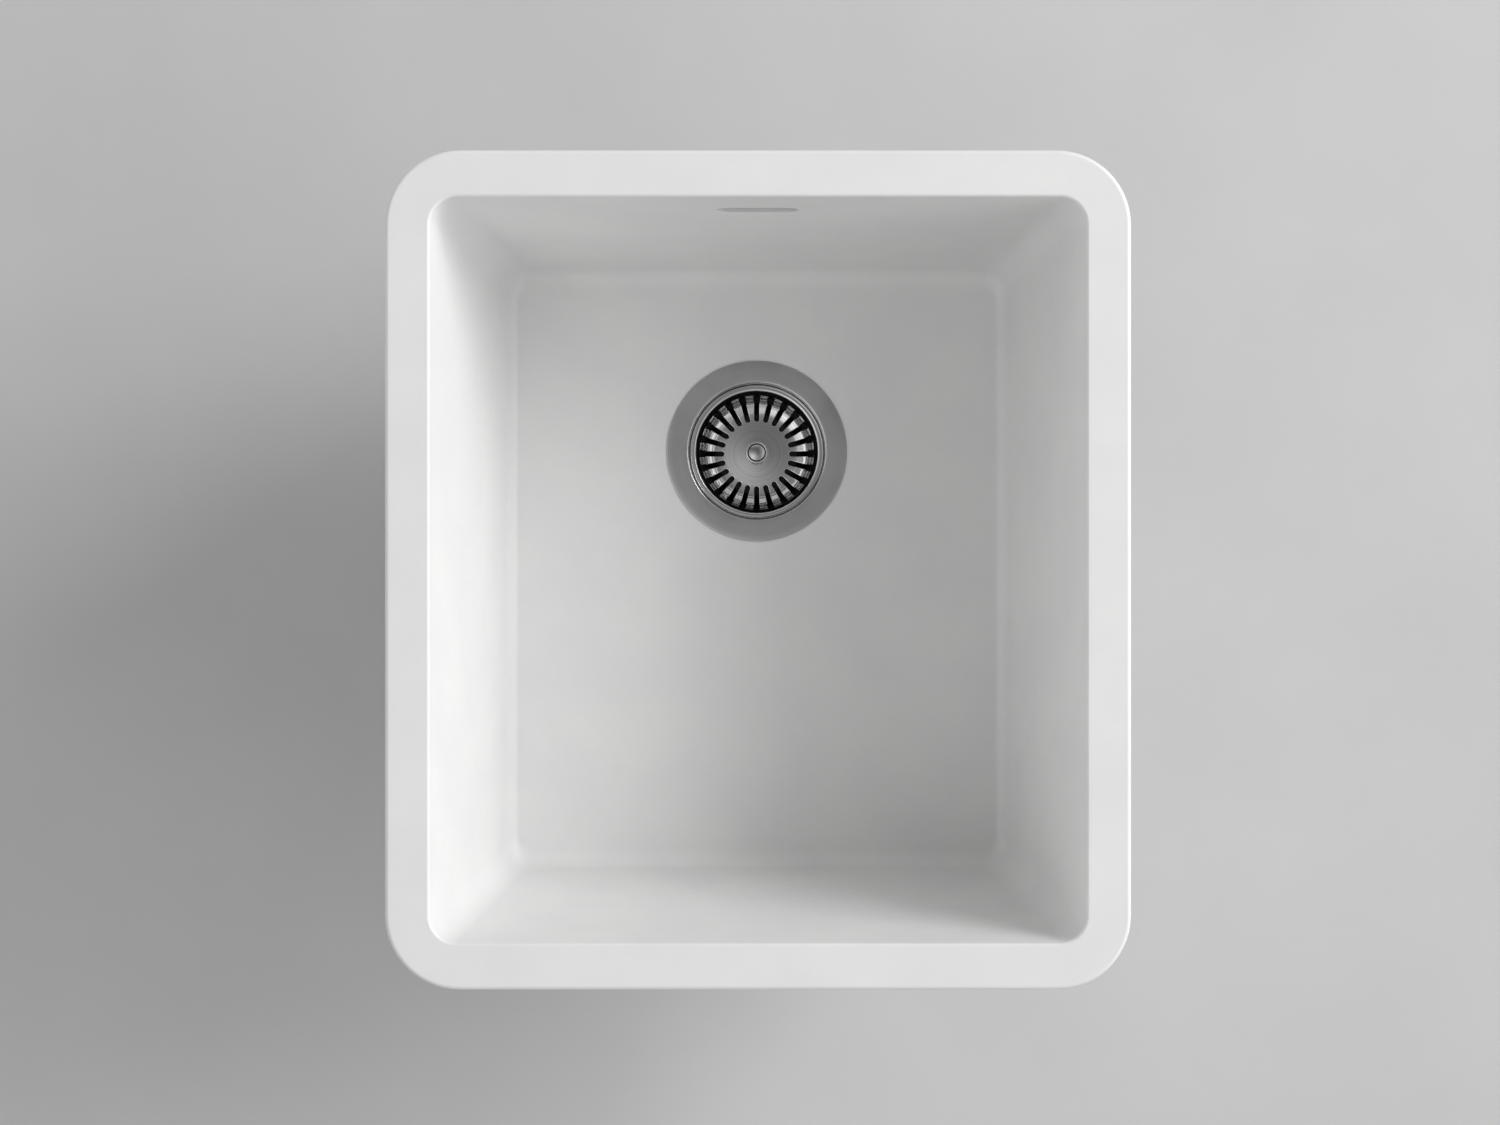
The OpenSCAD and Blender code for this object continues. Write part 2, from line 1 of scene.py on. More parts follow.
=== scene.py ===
# %% [markdown]
# # Dressing a solid surface kitchen sink
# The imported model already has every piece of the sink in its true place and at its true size. Its
# origin is the middle of the rim's top face, +Z points up out of the bowl and +Y points to the rear
# wall with the overflow slot. Here each piece gets its finish, and the pieces that need finer forms
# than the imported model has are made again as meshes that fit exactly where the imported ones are.

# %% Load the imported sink
import json
import math
import bmesh
import bpy
from mathutils import Matrix, Vector


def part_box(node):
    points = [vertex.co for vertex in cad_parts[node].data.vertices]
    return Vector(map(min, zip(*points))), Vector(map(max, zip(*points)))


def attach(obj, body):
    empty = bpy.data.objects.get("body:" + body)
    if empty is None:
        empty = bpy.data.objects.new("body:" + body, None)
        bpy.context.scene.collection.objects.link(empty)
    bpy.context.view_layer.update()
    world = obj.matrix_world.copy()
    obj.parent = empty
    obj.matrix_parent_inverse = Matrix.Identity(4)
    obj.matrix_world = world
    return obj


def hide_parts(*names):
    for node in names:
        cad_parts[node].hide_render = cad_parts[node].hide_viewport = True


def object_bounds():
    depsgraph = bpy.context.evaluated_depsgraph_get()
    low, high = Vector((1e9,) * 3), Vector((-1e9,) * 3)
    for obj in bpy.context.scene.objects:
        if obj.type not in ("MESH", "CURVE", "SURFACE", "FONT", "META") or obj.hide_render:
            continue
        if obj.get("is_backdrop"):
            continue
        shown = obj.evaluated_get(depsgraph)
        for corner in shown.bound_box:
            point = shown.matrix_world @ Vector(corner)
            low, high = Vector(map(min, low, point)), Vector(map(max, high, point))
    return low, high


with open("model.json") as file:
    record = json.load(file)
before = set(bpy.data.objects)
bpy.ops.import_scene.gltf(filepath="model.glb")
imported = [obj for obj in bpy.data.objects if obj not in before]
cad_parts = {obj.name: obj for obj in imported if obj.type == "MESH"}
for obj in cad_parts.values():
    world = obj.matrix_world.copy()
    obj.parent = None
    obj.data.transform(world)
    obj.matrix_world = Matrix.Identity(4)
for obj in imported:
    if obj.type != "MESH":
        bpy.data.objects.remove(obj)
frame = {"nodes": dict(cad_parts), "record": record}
nodes = frame["nodes"]
cad_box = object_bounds()
MM = 0.001
print("packed sink, mm:", [round(1000 * v, 1) for corner in cad_box for v in corner])

# %% [markdown]
# ## The camera
# The photograph was taken from straight above, a little over a metre up, with no tilt. The rim's
# outline is 400 mm wide and takes half of the picture's width, which with a 50 mm lens puts the
# camera 1115 mm above it. It stands 4 mm off the middle of the sink each way.

# %% Set up the camera
def put_in_scene(thing):
    bpy.context.scene.collection.objects.link(thing)


camera_data = bpy.data.cameras.new("overhead_camera")
camera_data.lens = 50
camera_data.sensor_width = 36
camera_data.clip_start = 0.01
camera = bpy.data.objects.new("overhead_camera", camera_data)
camera.location = (-0.0043, 0.0040, 1.115)
put_in_scene(camera)
bpy.context.scene.camera = camera
bpy.context.scene.view_settings.view_transform = "Standard"
print("camera height, mm:", round(1000 * camera.location.z))

# %% [markdown]
# ## The studio light
# One wide soft lamp stands to the right and a little behind, some 31 degrees up and four metres off,
# so the rim is lit evenly from end to end. It lights the left and front walls and leaves the right
# wall, the rear wall and the right part of the floor in soft shade, as in the photograph.

# %% Build the lamp
lamp_aim = Vector((0.0, 0.0, -0.05))
lamp_turn, lamp_rise, lamp_way = math.radians(25), math.radians(31), 4.0
lamp_data = bpy.data.lights.new("window_lamp", "AREA")
lamp_data.shape = "RECTANGLE"
lamp_data.size = 2.4
lamp_data.size_y = 1.7
lamp_data.energy = 101
lamp = bpy.data.objects.new("window_lamp", lamp_data)
lamp_side = Vector((math.cos(lamp_turn), math.sin(lamp_turn), 0)) * math.cos(lamp_rise)
lamp.location = lamp_aim + lamp_way * (lamp_side + Vector((0, 0, math.sin(lamp_rise))))
lamp.rotation_euler = (lamp_aim - lamp.location).to_track_quat("-Z", "Y").to_euler()
put_in_scene(lamp)
print("lamp at", [round(v, 2) for v in lamp.location], "with", lamp_data.energy, "W")

# %% [markdown]
# ## The studio sky
# The sky is pale near the horizon on both sides and dim overhead, so a flat steel flange reflects a
# middle grey while walls that lean get light from the side. It is a sum of soft lobes, and each lobe
# is how far a direction points to one side, raised to a power: a high power keeps it near the
# horizon. The right side fades out in the last twenty degrees above the horizon, where it would
# reach only the bowl's outside and bleach it. A soft patch high up, towards the front and the left, is
# what the basket's domed middle mirrors, so it goes slowly from pale on the left to dark on the
# right. Near the horizon, the camera and polished steel both see a plain pale backdrop instead, which
# gives the casting no light. From inside the bowl the horizon is hidden by the walls.

# %% Build the sky
world = bpy.data.worlds.new("studio_sky")
world.use_nodes = True
bpy.context.scene.world = world
sky, sky_links = world.node_tree.nodes, world.node_tree.links
sky_way = sky.new("ShaderNodeTexCoord").outputs["Generated"]


def sky_math(operation, a, b, clamp=False):
    node = sky.new("ShaderNodeMath")
    node.operation, node.use_clamp = operation, clamp
    for socket, value in zip(node.inputs, (a, b)):
        if isinstance(value, (int, float)):
            socket.default_value = value
        else:
            sky_links.new(value, socket)
    return node.outputs[0]


def towards(direction):
    node = sky.new("ShaderNodeVectorMath")
    node.operation = "DOT_PRODUCT"
    sky_links.new(sky_way, node.inputs[0])
    node.inputs[1].default_value = Vector(direction).normalized()
    return node.outputs["Value"]


def lobe(direction, power, strength):
    facing = sky_math("MULTIPLY", towards(direction), 1, True)
    return sky_math("MULTIPLY", sky_math("POWER", facing, power), strength)


def soft_patch(direction, tightness, strength):
    nearness = sky_math("MULTIPLY", sky_math("SUBTRACT", towards(direction), 1), tightness)
    return sky_math("MULTIPLY", sky_math("POWER", math.e, nearness), strength)


LEFT, RIGHT, FRONT, REAR, UP = (-1, 0, 0), (1, 0, 0), (0, -1, 0), (0, 1, 0), (0, 0, 1)
FADE = 3


def off_horizon(light):
    """Fades a light out towards the horizon; it is whole where a direction rises one in FADE."""
    return sky_math("MULTIPLY", light, sky_math("MULTIPLY", towards(UP), FADE, True))


sky_parts = [
    lobe(LEFT, 5, 1.6), off_horizon(lobe(RIGHT, 3, 1.17)), off_horizon(lobe(RIGHT, 2, 1.5)),
    lobe(FRONT, 1, 0.3), lobe(REAR, 2, 0.52), lobe(UP, 1, 0.08),
    soft_patch((-0.36, -0.3, 0.88), 14, 0.93),
]
sky_light = sky_parts[0]
for part in sky_parts[1:]:
    sky_light = sky_math("ADD", sky_light, part)
print("lobes in the sky:", len(sky_parts))

# %% Set the backdrop behind the horizon
PLAIN_BELOW, SOFT_EDGE = 0.25, 0.2
seen_by = sky.new("ShaderNodeLightPath")
looked_at = sky_math("MAXIMUM", seen_by.outputs["Is Camera Ray"], seen_by.outputs["Is Glossy Ray"])
looked_at = sky_math("MAXIMUM", looked_at, seen_by.outputs["Is Transmission Ray"])
below_edge = sky_math("SUBTRACT", PLAIN_BELOW + SOFT_EDGE, towards(UP))
low_down = sky_math("MULTIPLY", below_edge, 1 / SOFT_EDGE, True)
backdrop = sky.new("ShaderNodeMix")
backdrop.data_type = "RGBA"
sky_links.new(sky_math("MULTIPLY", looked_at, low_down), backdrop.inputs["Factor"])
sky_links.new(sky_light, backdrop.inputs["A"])
backdrop.inputs["B"].default_value = (0.5, 0.5, 0.5, 1)
sky_links.new(backdrop.outputs["Result"], sky["Background"].inputs["Color"])
print("nodes in the sky:", len(sky))

# %% [markdown]
# ## Tools for finishes
# Every finish starts from the same shader and gets its own colour, roughness and relief. Positions
# come from the object's own coordinates, which are metres in the sink's frame, so a grain of half a
# millimetre is half a millimetre on every piece.

# %% Start a finish
class Finish:
    def __init__(self, name, colour, roughness, metallic=0.0):
        self.material = bpy.data.materials.new(name)
        self.material.use_nodes = True
        self.material.diffuse_color = (*colour, 1)
        self.nodes, self.links = self.material.node_tree.nodes, self.material.node_tree.links
        self.shader = self.nodes["Principled BSDF"]
        self.shader.inputs["Base Color"].default_value = (*colour, 1)
        self.shader.inputs["Roughness"].default_value = roughness
        self.shader.inputs["Metallic"].default_value = metallic
        self.place = self.nodes.new("ShaderNodeTexCoord").outputs["Object"]

    def add(self, kind, **settings):
        node = self.nodes.new(kind)
        for key, value in settings.items():
            setattr(node, key, value)
        return node

    def noise(self, scale, detail=2.0, where=None):
        node = self.add("ShaderNodeTexNoise")
        node.inputs["Scale"].default_value = scale
        node.inputs["Detail"].default_value = detail
        self.links.new(where or self.place, node.inputs["Vector"])
        return node.outputs["Fac"]

    def spread(self, value, low, high, start=0.35, end=0.65):
        node = self.add("ShaderNodeMapRange")
        self.links.new(value, node.inputs["Value"])
        for socket, number in (("From Min", start), ("From Max", end), ("To Min", low), ("To Max", high)):
            node.inputs[socket].default_value = number
        return node.outputs["Result"]

    def tint(self, value, dark, pale):
        node = self.add("ShaderNodeMix", data_type="RGBA")
        self.links.new(value, node.inputs["Factor"])
        node.inputs["A"].default_value = (*dark, 1)
        node.inputs["B"].default_value = (*pale, 1)
        return node.outputs["Result"]

    def relief(self, height, strength, depth_mm):
        node = self.add("ShaderNodeBump")
        node.inputs["Strength"].default_value = strength
        node.inputs["Distance"].default_value = depth_mm * MM
        self.links.new(height, node.inputs["Height"])
        return node.outputs["Normal"]

    def use(self, **sockets):
        for name, output in sockets.items():
            self.links.new(output, self.shader.inputs[name.replace("_", " ")])


print("finish tools ready")

# %% [markdown]
# ## Cast white solid surface
# Solid surface is acrylic resin filled with fine white mineral, cast and then sanded to a satin. It
# isn't one flat white: the filler shows as a very faint cloud and pin-point specks, and sanding
# leaves tiny scratches that break up the sheen. Patterns at three scales give these: a cloud of some
# centimetres for the colour, specks under a millimetre across, and a fine relief.

# %% Make the cast white
cast = Finish("cast_white_solid_surface", (0.80, 0.80, 0.795), 0.42)
cloud = cast.noise(22, 4)
whites = cast.tint(cast.spread(cloud, 0, 1), (0.785, 0.786, 0.785), (0.815, 0.815, 0.81))
specks = cast.add("ShaderNodeTexVoronoi", feature="F1")
specks.inputs["Scale"].default_value = 420
cast.links.new(cast.place, specks.inputs["Vector"])
speck_mask = cast.spread(specks.outputs["Distance"], 1, 0, 0.06, 0.16)
speckled = cast.add("ShaderNodeMix", data_type="RGBA")
cast.links.new(speck_mask, speckled.inputs["Factor"])
cast.links.new(whites, speckled.inputs["A"])
speckled.inputs["B"].default_value = (0.74, 0.74, 0.735, 1)
sanding = cast.noise(950, 5)
cast.use(
    Base_Color=speckled.outputs["Result"],
    Roughness=cast.spread(cast.noise(160, 3), 0.38, 0.48),
    Normal=cast.relief(sanding, 0.12, 0.02),
)
print("cast white made")

# %% [markdown]
# ## Brushed, pressed and turned steel
# The strainer's flange is brushed in circles around the waste, so its grain is a set of rings. The
# rings come from noise that reads only the distance to the waste's axis. The basket is pressed and
# the knob turned from the same steel and then polished, so they keep faint rings but a clear shine.
#
# The plain wall above the basket's slots is a black ring in the photograph: seen from above, that
# steep polished wall mirrors only the dark cup. A few noisy light paths can't give such a clean
# black, so that dark reflection is painted: the finish of the basket's inside has a painted dark
# band there. It stops being a metal in the band, and its index of refraction of 1, which metals
# don't use, keeps the band free of shine.

# %% Measure where the waste is
cup_low, cup_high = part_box("strainer_cup")
WASTE = Vector(((cup_low.x + cup_high.x) / 2, (cup_low.y + cup_high.y) / 2, cup_high.z))
print("top of the strainer's flange, mm:", [round(1000 * v, 2) for v in WASTE])

# %% Make the steels
def ringed_steel(name, colour, rough_low, rough_high, ring_scale, ring_depth, strength):
    steel = Finish(name, colour, rough_high, 1.0)
    shift = steel.add("ShaderNodeVectorMath", operation="SUBTRACT")
    steel.links.new(steel.place, shift.inputs[0])
    shift.inputs[1].default_value = WASTE
    flat = steel.add("ShaderNodeVectorMath", operation="MULTIPLY")
    steel.links.new(shift.outputs[0], flat.inputs[0])
    flat.inputs[1].default_value = (1, 1, 0)
    reach = steel.add("ShaderNodeVectorMath", operation="LENGTH")
    steel.links.new(flat.outputs[0], reach.inputs[0])
    where = steel.add("ShaderNodeCombineXYZ")
    steel.links.new(reach.outputs["Value"], where.inputs["X"])
    rings = steel.noise(ring_scale, 4, where.outputs[0])
    smear = steel.noise(55, 3)
    dark = tuple(0.9 * c for c in colour)
    pale = tuple(1.06 * c for c in colour)
    steel.use(
        Base_Color=steel.tint(steel.spread(rings, 0, 1), dark, pale),
        Roughness=steel.spread(smear, rough_low, rough_high),
        Normal=steel.relief(rings, strength, ring_depth),
    )
    return steel


def paint_dark_reflection_band(steel, low, high, fade, darkness):
    """Paints a dark reflection on a steel between two heights, in millimetres from the flange's top."""
    height = steel.add("ShaderNodeSeparateXYZ")
    steel.links.new(steel.place, height.inputs[0])
    low_z, high_z = WASTE.z + low * MM, WASTE.z + high * MM
    above = steel.spread(height.outputs["Z"], 0, 1, low_z - fade * MM, low_z + fade * MM)
    below = steel.spread(height.outputs["Z"], 1, 0, high_z - fade * MM, high_z + fade * MM)
    band = steel.add("ShaderNodeMath", operation="MULTIPLY")
    steel.links.new(above, band.inputs[0])
    steel.links.new(below, band.inputs[1])
    shade = steel.add("ShaderNodeMix", data_type="RGBA")
    steel.links.new(band.outputs[0], shade.inputs["Factor"])
    steel.links.new(steel.shader.inputs["Base Color"].links[0].from_socket, shade.inputs["A"])
    shade.inputs["B"].default_value = (darkness, darkness, darkness, 1)
    steel.use(Base_Color=shade.outputs["Result"], Metallic=steel.spread(band.outputs[0], 1, 0, 0, 1))
    steel.shader.inputs["IOR"].default_value = 1.0


brushed = ringed_steel("steel_brushed_in_rings", (0.55, 0.55, 0.55), 0.30, 0.38, 2600, 0.01, 0.25)
turned = ringed_steel("steel_turned_bright", (0.82, 0.82, 0.82), 0.07, 0.13, 2200, 0.004, 0.15)
satin = ringed_steel("steel_turned_satin", (0.54, 0.54, 0.54), 0.12, 0.18, 1500, 0.006, 0.2)
pressed = ringed_steel("steel_pressed_with_painted_dark_band", (0.82, 0.82, 0.82), 0.07, 0.13, 700, 0.002, 0.1)
# The basket's inside gets a painted dark reflection on the plain wall above its slots.
paint_dark_reflection_band(pressed, low=-19.6, high=-9.9, fade=0.5, darkness=0.01)
# A near-black steel paints the shade deep inside the cup and in the knob's groove.
painted_shade_steel = ringed_steel("steel_painted_shade_in_hollows", (0.05, 0.05, 0.05), 0.45, 0.6, 900, 0.01, 0.2)
print("steels made:", [f.material.name for f in (brushed, pressed, turned, satin, painted_shade_steel)])

# %% [markdown]
# ## Plastic, rubber and brass under the bowl
# Below the bowl the photograph shows nothing, but a sink is handed over with its waste. The body,
# the overflow box and the pipe are moulded in off-white plastic with the faint texture of a blasted
# mould. The seals are black rubber, and the screw inserts are turned brass.

# %% Make the plastic, the rubber and the brass
def mottle(finish, cloud, dark, pale, patches, glossy, matt, grain, strength, depth_mm):
    """A faint cloud, patches of gloss and a fine grain, each from a noise's scale and detail."""
    finish.use(
        Base_Color=finish.tint(finish.spread(finish.noise(*cloud), 0, 1), dark, pale),
        Roughness=finish.spread(finish.noise(*patches), glossy, matt),
        Normal=finish.relief(finish.noise(*grain), strength, depth_mm),
    )


plastic = Finish("moulded_off_white_plastic", (0.74, 0.74, 0.72), 0.45)
mottle(
    plastic, cloud=(35, 3), dark=(0.71, 0.71, 0.69), pale=(0.76, 0.76, 0.745),
    patches=(240, 2), glossy=0.4, matt=0.52, grain=(1800, 3), strength=0.2, depth_mm=0.03,
)
rubber = Finish("black_moulded_rubber", (0.017, 0.017, 0.018), 0.62)
mottle(
    rubber, cloud=(90, 3), dark=(0.013, 0.013, 0.014), pale=(0.022, 0.022, 0.023),
    patches=(300, 2), glossy=0.55, matt=0.72, grain=(1500, 3), strength=0.25, depth_mm=0.03,
)
brass = Finish("turned_brass", (0.72, 0.52, 0.24), 0.3, 1.0)
mottle(
    brass, cloud=(120, 3), dark=(0.66, 0.47, 0.2), pale=(0.75, 0.56, 0.27),
    patches=(400, 2), glossy=0.24, matt=0.36, grain=(2500, 2), strength=0.15, depth_mm=0.01,
)
print("plastic, rubber and brass made")

# %% [markdown]
# ## Tools for shapes
# Most of this sink is made of rings of points: the casting is a stack of rounded rectangles, and the
# pressed and turned pieces are circles. One tool skins rings with faces. Another turns it into a
# piece that rides on its body, stands for its imported node and gets its finish.

# %% Turn points and faces into a piece
SAME_PLACE, NO_LENGTH = 1e-6, 1e-7


def smooth(mesh):
    for polygon in mesh.polygons:
        polygon.use_smooth = True


def make_piece(name, points, faces, finish=None, slot="", body=None, stands_for=()):
    """A mesh from points in metres; without a finish and a body it is only a tool for carving."""
    mesh = bpy.data.meshes.new(name)
    mesh.from_pydata([tuple(p) for p in points], [], faces)
    work = bmesh.new()
    work.from_mesh(mesh)
    bmesh.ops.remove_doubles(work, verts=work.verts, dist=SAME_PLACE)
    bmesh.ops.dissolve_degenerate(work, edges=work.edges, dist=NO_LENGTH)
    bmesh.ops.recalc_face_normals(work, faces=work.faces)
    work.to_mesh(mesh)
    work.free()
    smooth(mesh)
    piece = bpy.data.objects.new(name, mesh)
    put_in_scene(piece)
    if finish:
        mesh.materials.append(finish.material)
    if body:
        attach(piece, body)
    if stands_for:
        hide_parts(*stands_for)
    return piece


print("points nearer than", round(1e6 * SAME_PLACE), "micrometre become one")

# %% Skin rings of points
def skin(ring_list, closed=False):
    """Faces between each ring of points and the next; closed joins the last ring to the first."""
    count = len(ring_list[0])
    points = [p for ring in ring_list for p in ring]
    faces = []
    for k in range(len(ring_list) if closed else len(ring_list) - 1):
        a, b = k * count, (k + 1) % len(ring_list) * count
        faces += [(a + i, a + (i + 1) % count, b + (i + 1) % count, b + i) for i in range(count)]
    return points, faces


def with_ends(points, faces, count):
    """Closes an open skin with a face at each end; count is the points in a ring."""
    return points, faces + [tuple(range(count)), tuple(range(len(points) - count, len(points)))]


def in_metres(points):
    return [Vector(p) * MM for p in points]


def steps(start, end, count):
    return [start + (end - start) * i / count for i in range(count + 1)]


def circle(count):
    """Cosine and sine of evenly spaced turns."""
    return [(math.cos(math.tau * i / count), math.sin(math.tau * i / count)) for i in range(count)]


def arc(centre, radius, start, end, count):
    """Points (radius, height) on an arc of a profile, in degrees."""
    angles = [math.radians(a) for a in steps(start, end, count)]
    return [(centre[0] + radius * math.cos(a), centre[1] + radius * math.sin(a)) for a in angles]


def even_shading(piece, angle=35):
    """Flat faces stay flat and rounded edges roll into them."""
    sharp = math.radians(angle)
    work = bmesh.new()
    work.from_mesh(piece.data)
    for edge in work.edges:
        edge.smooth = len(edge.link_faces) == 2 and edge.calc_face_angle(0) < sharp
    work.to_mesh(piece.data)
    work.free()
    weighted = piece.modifiers.new("even_shading", "WEIGHTED_NORMAL")
    weighted.keep_sharp = True
    weighted.weight = 100


print("shape tools ready")

# %% [markdown]
# ## The bowl
# The bowl is one casting with walls that lean, a floor of four planes that fall to the waste, and a
# step under the strainer's flange. It could be carved from a block with booleans, but then every
# edge would need its own bevel. Rings do better: each height of the casting is one rounded
# rectangle, and a rounded edge is a few rings on an arc. The rings run down the inside, through the
# waste's hole and back up the outside to the mouth, so the skin closes on itself.

# %% Name the casting's sizes in millimetres
# Names that end in _W and _D are half widths and half depths, from the middle of the sink.
HALF_W, HALF_D, OUTER_R, RIM_T, RIM_ROUND = 200, 225, 40, 12, 2.5
MOUTH_W, MOUTH_D, MOUTH_R, MOUTH_ROUND = 176, 200, 15, 1.5
FOOT_W, FOOT_D, FLOOR_W, FLOOR_D, FLOOR_R = 156, 186, 149, 174, 8
WALL_FOOT, FLOOR_EDGE, FLOOR_LOW = -178.0, -190.0, -194.0
WALL_T, UNDER_FILLET, OUTER_RISE, SMALL_EASE = 8, 6, 24, 0.3
waste_x, waste_y = 0.0, round(1000 * WASTE.y, 3)
print("the waste lies", waste_y, "mm behind the middle")

# %% Place the stations of a ring
def straight_ends(k, half_x, half_y, r):
    """Both ends of a ring's straight side: 0 right, 1 rear, 2 left, 3 front."""
    x, y = half_x - r, half_y - r
    return [
        ((half_x, -y), (half_x, y)), ((x, half_y), (-x, half_y)),
        ((-half_x, y), (-half_x, -y)), ((-x, -half_y), (x, -half_y)),
    ][k]


def side_stations(k, step=3.0):
    """How far along a straight side its points lie, evenly spaced as seen from the waste."""
    (ax, ay), (bx, by) = straight_ends(k, FLOOR_W, FLOOR_D, FLOOR_R)
    start = math.atan2(ay - waste_y, ax - waste_x)
    sweep = (math.atan2(by - waste_y, bx - waste_x) - start) % math.tau
    count = max(2, math.ceil(math.degrees(sweep) / step))
    result = []
    for i in range(count):
        a = start + sweep * i / count
        u, v = math.cos(a), math.sin(a)
        along = ((waste_x - ax) * v - (waste_y - ay) * u) / ((bx - ax) * v - (by - ay) * u)
        result.append(along)
    return result


STATIONS = [side_stations(k) for k in range(4)]
CORNER_STEPS = 14
print("points in a ring:", sum(len(s) for s in STATIONS) + 4 * CORNER_STEPS)

# %% Shape the casting's rings
def casting_ring(half_x, half_y, r, z):
    ring = []
    for k in range(4):
        (ax, ay), (bx, by) = straight_ends(k, half_x, half_y, r)
        ring += [(ax + t * (bx - ax), ay + t * (by - ay), z) for t in STATIONS[k]]
        cx = (half_x - r) * (1 if k in (0, 3) else -1)
        cy = (half_y - r) * (1 if k in (0, 1) else -1)
        for i in range(CORNER_STEPS):
            a = math.radians(90 * (k + i / CORNER_STEPS))
            ring.append((cx + r * math.cos(a), cy + r * math.sin(a), z))
    return ring


def side_at(z):
    """How far a side wall's inner face is from the middle at a height."""
    return MOUTH_W + (FOOT_W - MOUTH_W) * z / WALL_FOOT


def end_at(z):
    """The same for the front and rear walls."""
    return MOUTH_D + (FOOT_D - MOUTH_D) * z / WALL_FOOT


FLOOR_RING = casting_ring(FLOOR_W, FLOOR_D, FLOOR_R, FLOOR_EDGE)


def floor_ring(radius, drop=0.0):
    """A circle around the waste that lies on the floor's four planes, sunk by drop."""
    ring = []
    for x, y, z in FLOOR_RING:
        reach = math.hypot(x - waste_x, y - waste_y)
        share = radius / reach
        ring.append((
            waste_x + (x - waste_x) * share, waste_y + (y - waste_y) * share,
            FLOOR_LOW + (z - FLOOR_LOW) * share - drop,
        ))
    return ring


def level_ring(radius, z):
    return [(x, y, z) for x, y, _ in floor_ring(radius)]


def quarter(start, end, count):
    """Pairs of 1 - sine and 1 - cosine along a quarter circle, for rounded edges."""
    turns = [math.radians(a) for a in steps(start, end, count)]
    return [(1 - math.sin(a), 1 - math.cos(a)) for a in turns]


print("half sizes at the foot of the walls, mm:", side_at(WALL_FOOT), "by", end_at(WALL_FOOT))

# %% Build the casting
def rim_and_walls():
    rings = []
    for out, down in quarter(0, 90, 6):
        s, z = MOUTH_ROUND * out, -MOUTH_ROUND * down
        rings.append(casting_ring(side_at(z) + s, end_at(z) + s, MOUTH_R + s, z))
    for up, c in quarter(0, 90, 12):
        z = FLOOR_EDGE + (WALL_FOOT - FLOOR_EDGE) * up
        x, y = FOOT_W - (FOOT_W - FLOOR_W) * c, FOOT_D - (FOOT_D - FLOOR_D) * c
        rings.append(casting_ring(x, y, MOUTH_R - (MOUTH_R - FLOOR_R) * c, z))
    return rings


def floor_and_seat():
    """The floor, the step for the flange, the hole, and the boss around it on the underside."""
    seat = 1000 * WASTE.z - 3
    rings = [floor_ring(90)]
    rings += [floor_ring(57.8), floor_ring(57.45, 0.1), floor_ring(57.3, 0.3)]
    rings += [level_ring(57.3, seat + 0.3), level_ring(57, seat), level_ring(45.3, seat)]
    rings += [level_ring(45, seat - 0.3), level_ring(45, seat - 11.7), level_ring(45.3, seat - 12)]
    rings += [level_ring(66, seat - 12), level_ring(66.7, seat - 11.7), level_ring(67.1, seat - 11)]
    rings += [level_ring(69, seat - 6.1), level_ring(69.6, seat - 5.65), level_ring(70.6, seat - 5.5)]
    return rings


def outside():
    rings = []
    for up, c in quarter(90, 0, 12):
        z = WALL_FOOT - OUTER_RISE * (1 - up)
        x = FOOT_W + WALL_T - (FOOT_W + WALL_T - FLOOR_W) * c
        y = FOOT_D + WALL_T - (FOOT_D + WALL_T - FLOOR_D) * c
        rings.append(casting_ring(x, y, MOUTH_R + WALL_T - (MOUTH_R + WALL_T - FLOOR_R) * c, z))
    for out, down in quarter(90, 0, 8):
        s, z = WALL_T + UNDER_FILLET * out, -RIM_T - UNDER_FILLET * down
        rings.append(casting_ring(side_at(z) + s, end_at(z) + s, MOUTH_R + s, z))
    for s, z in ((1, -RIM_T), (SMALL_EASE, SMALL_EASE - RIM_T), (0, 1 - RIM_T)):
        rings.append(casting_ring(HALF_W - s, HALF_D - s, OUTER_R - s, z))
    for inward, down in quarter(90, 0, 8):
        s, z = RIM_ROUND * inward, -RIM_ROUND * down
        rings.append(casting_ring(HALF_W - s, HALF_D - s, OUTER_R - s, z))
    return rings


bowl_rings = rim_and_walls() + floor_and_seat() + outside()
bowl_points, bowl_faces = skin(bowl_rings, closed=True)
bowl = make_piece(
    "sink_bowl", in_metres(bowl_points), bowl_faces, cast, "solid_surface", "sink", ["bowl"],
)
print("rings in the casting:", len(bowl_rings), "faces:", len(bowl.data.polygons))

# %% [markdown]
# ## The overflow slot and the pad behind it
# A routed slot with eased edges lets water out below the rim, and a flat pad behind the wall takes
# the overflow box. Both are cut or joined with booleans, because they cross the casting's rings. The
# cutter is wider at the wall's face, on a quarter circle that leans with the wall, so the edge comes
# out rounded.

# %% Draw the slot and the pad
box_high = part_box("overflow_box")[1]
pad_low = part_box("overflow_gasket")[0]
PAD_Y = 1000 * pad_low.y
PAD_X = 1000 * box_high.x + 2
PAD_TOP = 1000 * box_high.z
PAD_LOW = 1000 * pad_low.z
PAD_R = 6
SLOT_Z, SLOT_HALF_W, SLOT_HALF_H, SLOT_EASE = -32.0, 22.5, 6, 1.2


def stadium(grow=0.0):
    """The overflow slot's outline in X and Z, with round ends."""
    r = SLOT_HALF_H + grow
    shape = []
    for side, start in ((1, -90), (-1, 90)):
        for turn in steps(start, start + 180, 14):
            a = math.radians(turn)
            shape.append((side * (SLOT_HALF_W - SLOT_HALF_H) + r * math.cos(a), r * math.sin(a)))
    return shape


